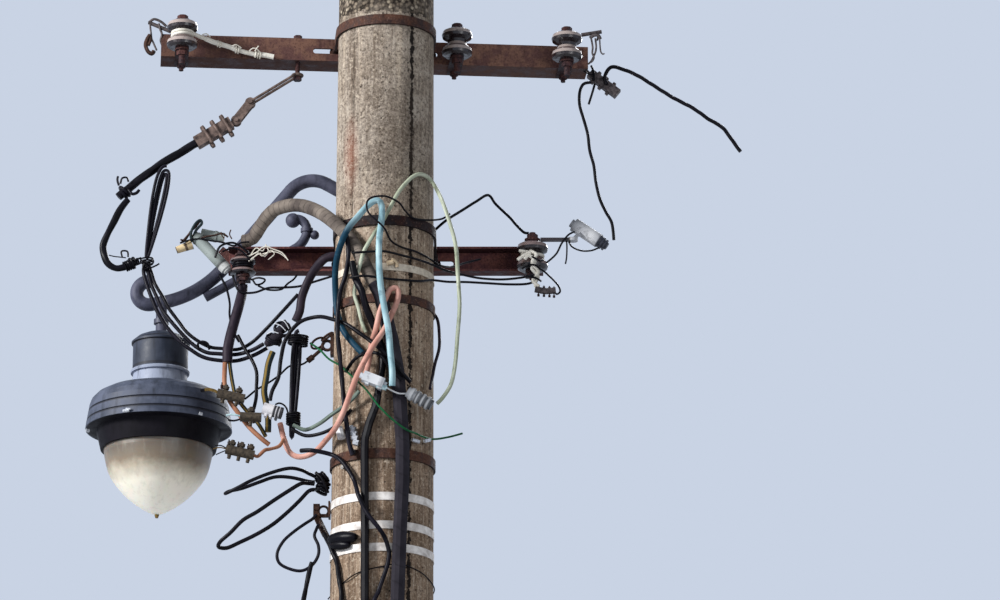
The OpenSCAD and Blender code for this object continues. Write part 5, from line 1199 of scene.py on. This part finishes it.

# %% [markdown]
# ## Wire bindings at the left
# A line that ends on a spool insulator is wound round its groove, laid back along itself and bound with
# thinner wire, whose cut ends stay sticking out. Old hemp and cotton rope frays at its end. Each binding
# is a few short tubes through listed points, joined as one piece. These hold the connectors and
# the hose at the left-hand spool.

# %% Bindings at the left
RUST_LOOK = (HOOK_STEEL, "rusty_steel")
ZINC_LOOK = (ZINC, "zinc_steel")
DARK_ZINC_LOOK = (DARK_ZINC, "zinc_steel")
SILVER_LOOK = (SILVER, "zinc_steel")
BRASS_LOOK = (BRASS, "brass")
BOLT_LOOK = (DARK_STEEL, "rusty_steel")
FRAYED_LOOK = (plastic("frayed_cotton", "#c4bdaf", "#e3dfd4", "#7d7568", 0.9), "white_plastic")
LIGHT_BLUE_LOOK = (plastic("light_blue_pvc_end", "#8fb4bd", "#c1d9de", "#4b6b77"), "pale_blue_sheath")
WHITE_LOOK = (WHITE_PLASTIC, "white_plastic")

wires("left_twisted_wire", RUST_LOOK,
      (5, [(-515, 52, 5213), (-502, 48, 5227), (-493, 52, 5240), (-478, 48, 5258), (-466, 52, 5272)]),
      (5, [(-515, 46, 5220), (-504, 54, 5223), (-490, 46, 5243), (-480, 54, 5255), (-464, 46, 5274)]),
      (5, [(-464, 45, 5224), (-447, 45, 5229), (-432, 45, 5231), (-411, 45, 5236), (-396, 45, 5227)]),
      (3.5, [(-389, 42, 5245), (-392, 42, 5233), (-386, 42, 5221)]),
      (3.5, [(-414, 42, 5239), (-411, 42, 5230), (-406, 42, 5223)]))
wires("left_loop_wire", SHEATHS["olive"],
      (7, [(-487, 50, 5215), (-490, 46, 5237), (-480, 44, 5260), (-468, 46, 5272), (-463, 48, 5264),
           (-478, 50, 5245), (-486, 52, 5223)]))
wires("left_binding", BLACK,
      (6, rings((-359, 73.5, 5157), UPRIGHT, SIDEWAYS, 24.5, 2.2, 6.2)),
      (6, [(-427, 34, 5169), (-415, 34, 5198), (-387, 36, 5209), (-365, 38, 5201), (-342, 42, 5182),
           (-333, 58, 5161)]),
      (4.5, [(-517, 45, 5211), (-492, 45, 5219), (-467, 45, 5222), (-437, 43, 5216), (-411, 41, 5212),
           (-382, 45, 5204), (-362, 45, 5212), (-342, 45, 5214)]),
      (5, [(-409, 38, 5186), (-384, 34, 5194), (-359, 36, 5186), (-340, 44, 5166)]),
      (6, [(-417, 58, 5132), (-399, 52, 5096), (-388, 34, 5050), (-387, 30, 5013), (-376, 22, 4971),
           (-362, 18, 4943)]))
wires("left_splice", BLACK,
      (6, [(-383, 58, 5130), (-376, 50, 5104), (-362, 46, 5082), (-327, 44, 5080), (-292, 44, 5092),
           (-260, 44, 5093), (-215, 40, 5095), (-172, 32, 5106), (-129, 20, 5116)]),
      (5, [(-318, 48, 5099), (-292, 40, 5086), (-260, 40, 5087), (-243, 44, 5104), (-230, 48, 5115),
           (-222, 60, 5130)]),
      (5, [(-344, 62, 5122), (-333, 52, 5116), (-323, 44, 5101), (-308, 44, 5104), (-301, 44, 5114),
           (-318, 48, 5120), (-336, 58, 5118)]))
wires("frayed_ends", FRAYED_LOOK,
      (3, [(-346, 44, 5174), (-321, 36, 5185), (-309, 34, 5195), (-296, 34, 5198), (-283, 34, 5192),
           (-258, 36, 5182), (-243, 38, 5163)]),
      (3, [(-343, 46, 5163), (-318, 36, 5179), (-308, 36, 5174), (-293, 36, 5187), (-301, 36, 5203)]),
      (2.5, [(-338, 44, 5179), (-324, 36, 5195), (-308, 36, 5187), (-299, 36, 5205)]),
      (2.5, [(-336, 48, 5165), (-318, 40, 5184), (-303, 38, 5173), (-288, 36, 5189), (-278, 36, 5179),
           (-293, 38, 5165)]),
      (2.5, [(-308, 38, 5180), (-283, 36, 5185), (-263, 36, 5180), (-248, 38, 5169)]))
print("left: twisted wires, two bindings and frayed ends")

# %% [markdown]
# ## The ends of the top arm
# At the left end a white rope is tied to the spool and taped along the line's cut end, where its tufts
# stand out. Strap wires and a curl hang from the bolts, and at the right end the clamp is tied with
# thin wire.

# %% Top arm
TOP_GROOVE = (-520.5, 16.5, 5759)
wires("top_left_rope", WHITE_ROPE,
      (8, rings(TOP_GROOVE, UPRIGHT, SIDEWAYS, 25.5, 2, 8.5)),
      (11, [(-496, 12, 5763), (-476, 24, 5758), (-460, 36, 5756)]),
      (13, [(-464, 34, 5757), (-442, 48, 5752), (-402, 62, 5744), (-388, 66, 5739)]),
      (12, [(-390, 66, 5740), (-359, 74, 5733), (-331, 80, 5729)]),
      (14, [(-333, 80, 5731), (-312, 82, 5729), (-290, 84, 5725)]))
wires("top_left_rope_tufts", FRAYED_LOOK,
      (3, [(-352, 66, 5734), (-343, 64, 5741), (-333, 66, 5740), (-324, 72, 5733)]),
      (3, [(-338, 68, 5735), (-331, 64, 5744), (-328, 64, 5747)]),
      (3, [(-396, 54, 5744), (-384, 52, 5746), (-372, 58, 5740)]),
      (3, [(-470, 16, 5760), (-459, 20, 5764), (-450, 30, 5759)]),
      (4, rings((-428, 53.5, 5748.5), (1, 0.4, -0.25), (0, 0, 1), 6.8, 2, 6)),
      (4, rings((-382, 68.5, 5737.5), (1, 0.3, -0.25), (0, 0, 1), 7.2, 2, 6)),
      (4, rings((-330, 80, 5729), (1, 0.3, -0.2), (0, 0, 1), 7.6, 3, 6)))
wires("top_left_strap_wires", DARK_ZINC_LOOK,
      (7, [(-612, 75, 5815), (-598, 70, 5823), (-580, 70, 5816), (-566, 72, 5804)]),
      (6, [(-586, 74, 5812), (-582, 72, 5797), (-577, 72, 5782), (-580, 74, 5766), (-575, 76, 5752)]))
wires("top_left_curl", RUST_LOOK,
      (11, [(-608, 76, 5782), (-615, 74, 5768), (-618, 72, 5752), (-612, 72, 5736), (-602, 74, 5730),
           (-597, 76, 5738)]),
      (8, [(-606, 76, 5776), (-607, 74, 5764), (-611, 72, 5752)]))
wires("top_right_strap_wires", DARK_ZINC_LOOK,
      (9, [(521, 98, 5782), (532, 94, 5788), (543, 94, 5787), (548, 98, 5779)]),
      (5, [(524, 96, 5782), (528, 96, 5757), (527, 96, 5740), (531, 96, 5728), (526, 96, 5717),
           (519, 96, 5714)]),
      (5, [(535, 96, 5780), (537, 96, 5757), (534, 96, 5740), (524, 96, 5718), (516, 96, 5710)]),
      (4, [(546, 96, 5780), (547, 96, 5759), (549, 96, 5743), (554, 96, 5737), (558, 96, 5739)]))
wires("right_clamp_wires", BLACK,
      (6, [(525, 152, 5726), (530, 150, 5713), (532, 150, 5696), (530, 152, 5683)]),
      (4, [(505, 152, 5712), (518, 150, 5703), (534, 152, 5700)]),
      (6, [(534, 152, 5676), (528, 150, 5653), (518, 150, 5620)]))
print("top arm: rope, tufts, strap wires and a curl")

# %% [markdown]
# ## The right-hand spool
# White rope goes round the spool and down from it in loose turns, with black wire wrapped over it.

# %% Right spool
RIGHT_SPOOL = (372.5, 73.5, 5183)
wires("right_rope", WHITE_ROPE,
      (8, rings(RIGHT_SPOOL, UPRIGHT, SIDEWAYS, 26.5, 1.6, 8.8)),
      (9, [(366, 46, 5190), (381, 30, 5175), (371, 28, 5154), (386, 36, 5133), (373, 44, 5112),
           (388, 44, 5096)]),
      (9, [(352, 28, 5163), (362, 26, 5172), (378, 30, 5160), (370, 36, 5142), (386, 44, 5122),
           (378, 46, 5105), (384, 46, 5090)]),
      (9, [(335, 34, 5163), (350, 26, 5172), (366, 28, 5179)]),
      (8, [(338, 34, 5187), (352, 36, 5186), (368, 40, 5184)]))
wires("right_black_wraps", BLACK,
      (5, [(356, 38, 5178), (374, 23, 5166), (390, 28, 5159), (398, 44, 5166)]),
      (5, [(360, 30, 5150), (378, 25, 5146), (392, 32, 5137), (396, 48, 5140)]),
      (5, [(364, 40, 5120), (380, 36, 5116), (394, 40, 5108)]),
      (5, [(346, 40, 5142), (360, 34, 5146), (391, 34, 5139), (416, 40, 5120), (436, 45, 5099),
           (441, 45, 5083), (432, 45, 5076), (427, 45, 5085)]))
wires("right_loop_wire", BLACK,
      (5, [(403, 60, 5160), (431, 60, 5186), (446, 62, 5216), (462, 70, 5240), (478, 85, 5254)]),
      (4, [(457, 80, 5238), (459, 70, 5212), (458, 66, 5180), (455, 64, 5162)]),
      (4.5, [(462, 84, 5232), (472, 84, 5214), (495, 86, 5204), (520, 92, 5206), (540, 100, 5216)]))
print("right: rope, black wraps and loops")

# %% [markdown]
# ## Clamps, bolts and links
# A tap clamp is two halves pulled together by hexagon bolts, so each has a head above and a nut below.
# The small multi-bolt connectors are cast blocks of the same kind. Two links of bar lead from the middle
# hank towards the pole.

# %% Bolts
SHANK_WIDE = 0.55
HEAD_WIDE = 1.2
HEAD_FROM = 0.5
HEAD_TO = 0.78
NUT_TO = 0.7
HEXAGON = 6
BOLT_SMOOTH = 30


def bolts(name, start, end, shares, width, below, above):
    """Hexagon bolts through a clamp, in mm: for each, a shank, a head above and a nut below."""
    start, end = metres([start, end])
    up = Vector(UPRIGHT)
    parts = []
    for share in shares:
        centre = start + (end - start) * share
        for low, high, wide in ((-below, above, SHANK_WIDE), (above * HEAD_FROM, above * HEAD_TO, HEAD_WIDE),
                                (-below, -below * NUT_TO, HEAD_WIDE)):
            line = [centre + up * mm(low), centre + up * mm(high)]
            parts.append(tube_mesh("bolt", line, mm(width * wide), HEXAGON))
    return joined(name, parts, BOLT_LOOK, BOLT_SMOOTH)


bolts("tap_bolts_upper", (-410, -29.3, 4796), (-343, -29.3, 4781), (0.16, 0.8), 7, 17, 30)
bolts("tap_bolts_middle", (-352, -41.2, 4732), (-300, -41.2, 4730), (0.62,), 8, 15, 27)
bolts("tap_bolts_lower", (-385, -46, 4648), (-316, -46, 4632), (0.1, 0.44, 0.8), 7, 18, 26)
wires("tap_tails", BRASS_LOOK,
      (8, [(-408, -29, 4797), (-419, -29, 4803), (-434, -29, 4806), (-446, -30, 4803)]),
      (3, [(-384, -46, 4648), (-400, -46, 4652), (-417, -47, 4648)]))
wires("tap_tails_blue", LIGHT_BLUE_LOOK, (5, [(-348, -41, 4733), (-370, -41, 4738), (-387, -42, 4735)]))
wires("tap_tails_black", BLACK,
      (5, [(-348, -41, 4727), (-367, -41, 4722), (-382, -42, 4724)]),
      (3, [(-384, -46, 4645), (-397, -48, 4639), (-410, -48, 4633)]),
      (3, [(-384, -46, 4650), (-398, -46, 4657), (-413, -46, 4656)]),
      (9, [(-442, -30, 4804.5), (-452, -30, 4802)]))
wires("right_multi_bolt", DARK_ZINC_LOOK, (17, [(378, 45, 5089), (404, 45, 5084), (430, 45, 5086)]))
bolts("right_multi_bolts", (382, 45, 5088), (428, 45, 5084), (0.1, 0.4, 0.7, 0.95), 6, 17, 12)
wires("sweep_binding", BLACK,
      (6, [(-462, 52, 4930), (-466, 44, 4945), (-455, 42, 4951), (-442, 44, 4946), (-438, 52, 4933)]))
wires("chain_link_outer", RUST_LOOK,
      (6, winding((-163.5, 0, 4934), (0.3, -1, 0), (0.8, 0, 0.6), 20, 11, 1.02, 0)))
wires("chain_link_middle", RUST_LOOK,
      (6, winding((-141.5, 0, 4951), (-0.5, -0.5, 0.6), (0.75, 0, 0.65), 16, 10, 1.02, 0)))
print("bolts in the taps, their tails, a multi-bolt block and two links")

# %% [markdown]
# ## Small things on the pole
# A loose tie wire goes round the pole below the straps. At the lower collar stand two bolt heads, a
# white cap and a small clamp of bright aluminium. A lump of tape covers a joint beside the straps, and
# the light blue cable ends in a joint of its own. The lamp's coat is chipped to the bright metal at its
# rim, and a screw stands at its side.

# %% On the pole
TIE_WIRE = [
    (-131, -5, 4279), (-88, -95, 4300), (-50, -119, 4319), (11, -129, 4332), (42, -122, 4338),
    (72, -107, 4334), (108, -71, 4321), (129, -1, 4300), (91, 92, 4290), (0, 129, 4283), (-91, 92, 4279),
    (-130, -4, 4276)]
wires("pole_tie_wire", BLACK, (3, TIE_WIRE))
wires("pole_bolt_heads", ZINC_LOOK,
      (15, [(-64, -103, 4622), (-72, -118, 4622)]),
      (11, [(-88, -84, 4590), (-97, -96, 4589)]))
wires("pole_white_cap", WHITE_LOOK, (20, [(-106, -93, 4690), (-98, -96, 4661)]))
wires("pole_bright_clamp", SILVER_LOOK,
      (13, [(-75, -117, 4686), (-62, -124, 4638)]),
      (16, [(-78, -118, 4680), (-64, -122, 4676)]),
      (16, [(-75, -121, 4668), (-61, -125, 4664)]),
      (16, [(-72, -123, 4656), (-58, -127, 4652)]),
      (16, [(-68, -125, 4644), (-55, -129, 4640)]))
wires("pole_bright_crimp", SILVER_LOOK,
      (10, [(74, -115, 4653), (92, -104, 4650)]),
      (9, [(104, -94, 4655), (118, -80, 4662)]))
lump((-128, -64, 4414), (-60, -122, 4406), 34, BLACK, "pole_taped_lump")
lump((-124, -70, 4398), (-76, -112, 4388), 24, BLACK, "pole_taped_lump_lower")
wires("strap_buckle", (BEIGE_PLASTIC, "painted_strap"),
      (13, [(10, -131, 5101), (26, -131, 5105)]),
      (9, [(22, -134, 5112), (32, -130, 5104), (36, -127, 5093)]))
wires("ribbon_joint", LIGHT_BLUE_LOOK, (13, [(-12, -180, 4772), (13, -179, 4766)]))
wires("ribbon_joint_wire", WHITE_LOOK,
      (4, [(11, -180, 4768), (26, -174, 4761), (44, -166, 4756), (66, -161, 4758)]))
CHIP_LOOK = (SILVER, "lamp_paint")
wires("lamp_chips", CHIP_LOOK,
      (8, [(-647, 19.5, 4764), (-631, 14, 4764)]),
      (5, [(-640, 16.5, 4769), (-628, 12.5, 4767)]),
      (8, [(-459, 40.5, 4764), (-452, 44.5, 4763)]))
wires("lamp_side_screw", CHIP_LOOK, (9, [(-748, 120, 4742), (-740, 124, 4742)]))
print("a tie wire, bolt heads, caps, clamps, lumps of tape and chips")

# %% [markdown]
# ## Light, floor and background
# A pale overcast sky lights a street from everywhere, with more from one side. A large soft lamp at the
# left, a weak one at the right, one behind and an even world do the same here, at a plain level, so that
# each colour shows about as it is written and the pole's right side falls into shade.

# %% Light
HEAD = (0, 0, 5.1)


def area_lamp(name, place, aim, size, power):
    """A large soft lamp that points at a place."""
    data = bpy.data.lights.new(name, "AREA")
    data.shape = "DISK"
    data.size = size
    data.energy = power
    made = bpy.data.objects.new(name, data)
    made.location = place
    made.rotation_euler = (Vector(aim) - Vector(place)).to_track_quat("-Z", "Y").to_euler()
    bpy.context.scene.collection.objects.link(made)


area_lamp("key", (-7.5, -4.2, 8.0), HEAD, 2.4, 1250)
area_lamp("fill", (4.5, -7.0, 5.0), HEAD, 3.5, 110)
area_lamp("back", (2.0, 6.0, 8.5), HEAD, 3.5, 260)

BACKGROUND = "ShaderNodeBackground"
RAYS = "ShaderNodeLightPath"
world = bpy.data.worlds.new("world")
bpy.context.scene.world = world
world.use_nodes = True
tree = world.node_tree
tree.nodes.clear()
even = add(tree, BACKGROUND, {"Color": "#dfe4ec", "Strength": 0.36})
shown = add(tree, BACKGROUND, {"Color": "#c9d3e4", "Strength": 1.0})
seen = add(tree, RAYS, {}, "Is Camera Ray")
for ray in ("Is Glossy Ray", "Is Transmission Ray"):
    seen = add(tree, MATH, {0: seen, 1: add(tree, RAYS, {}, ray)}, operation="MAXIMUM")
blend = add(tree, "ShaderNodeMixShader", {0: seen, 1: even, 2: shown})
add(tree, "ShaderNodeOutputWorld", {"Surface": blend})
bpy.context.scene.view_settings.view_transform = "Standard"
print("three lamps and an even world")

# %% Floor
HALF_FLOOR = 7
floor_mesh = bpy.data.meshes.new("floor")
corners = [(-HALF_FLOOR, -HALF_FLOOR, 0), (HALF_FLOOR, -HALF_FLOOR, 0),
           (HALF_FLOOR, HALF_FLOOR, 0), (-HALF_FLOOR, HALF_FLOOR, 0)]
floor_mesh.from_pydata(corners, [], [(0, 1, 2, 3)])
floor = bpy.data.objects.new("floor", floor_mesh)
bpy.context.scene.collection.objects.link(floor)
made, tree, here = new_tree("pale_floor")
soft = add(tree, NOISE, {"Vector": here, "Scale": per_mm(900), "Detail": 3})
pale = add(tree, RAMP, {0: soft}, stops=[(0.3, "#c9cdd3"), (0.7, "#d4d8de")])
floor_mesh.materials.append(close(made, tree, pale, 0.9, soft, 0.5))
print("a pale floor")
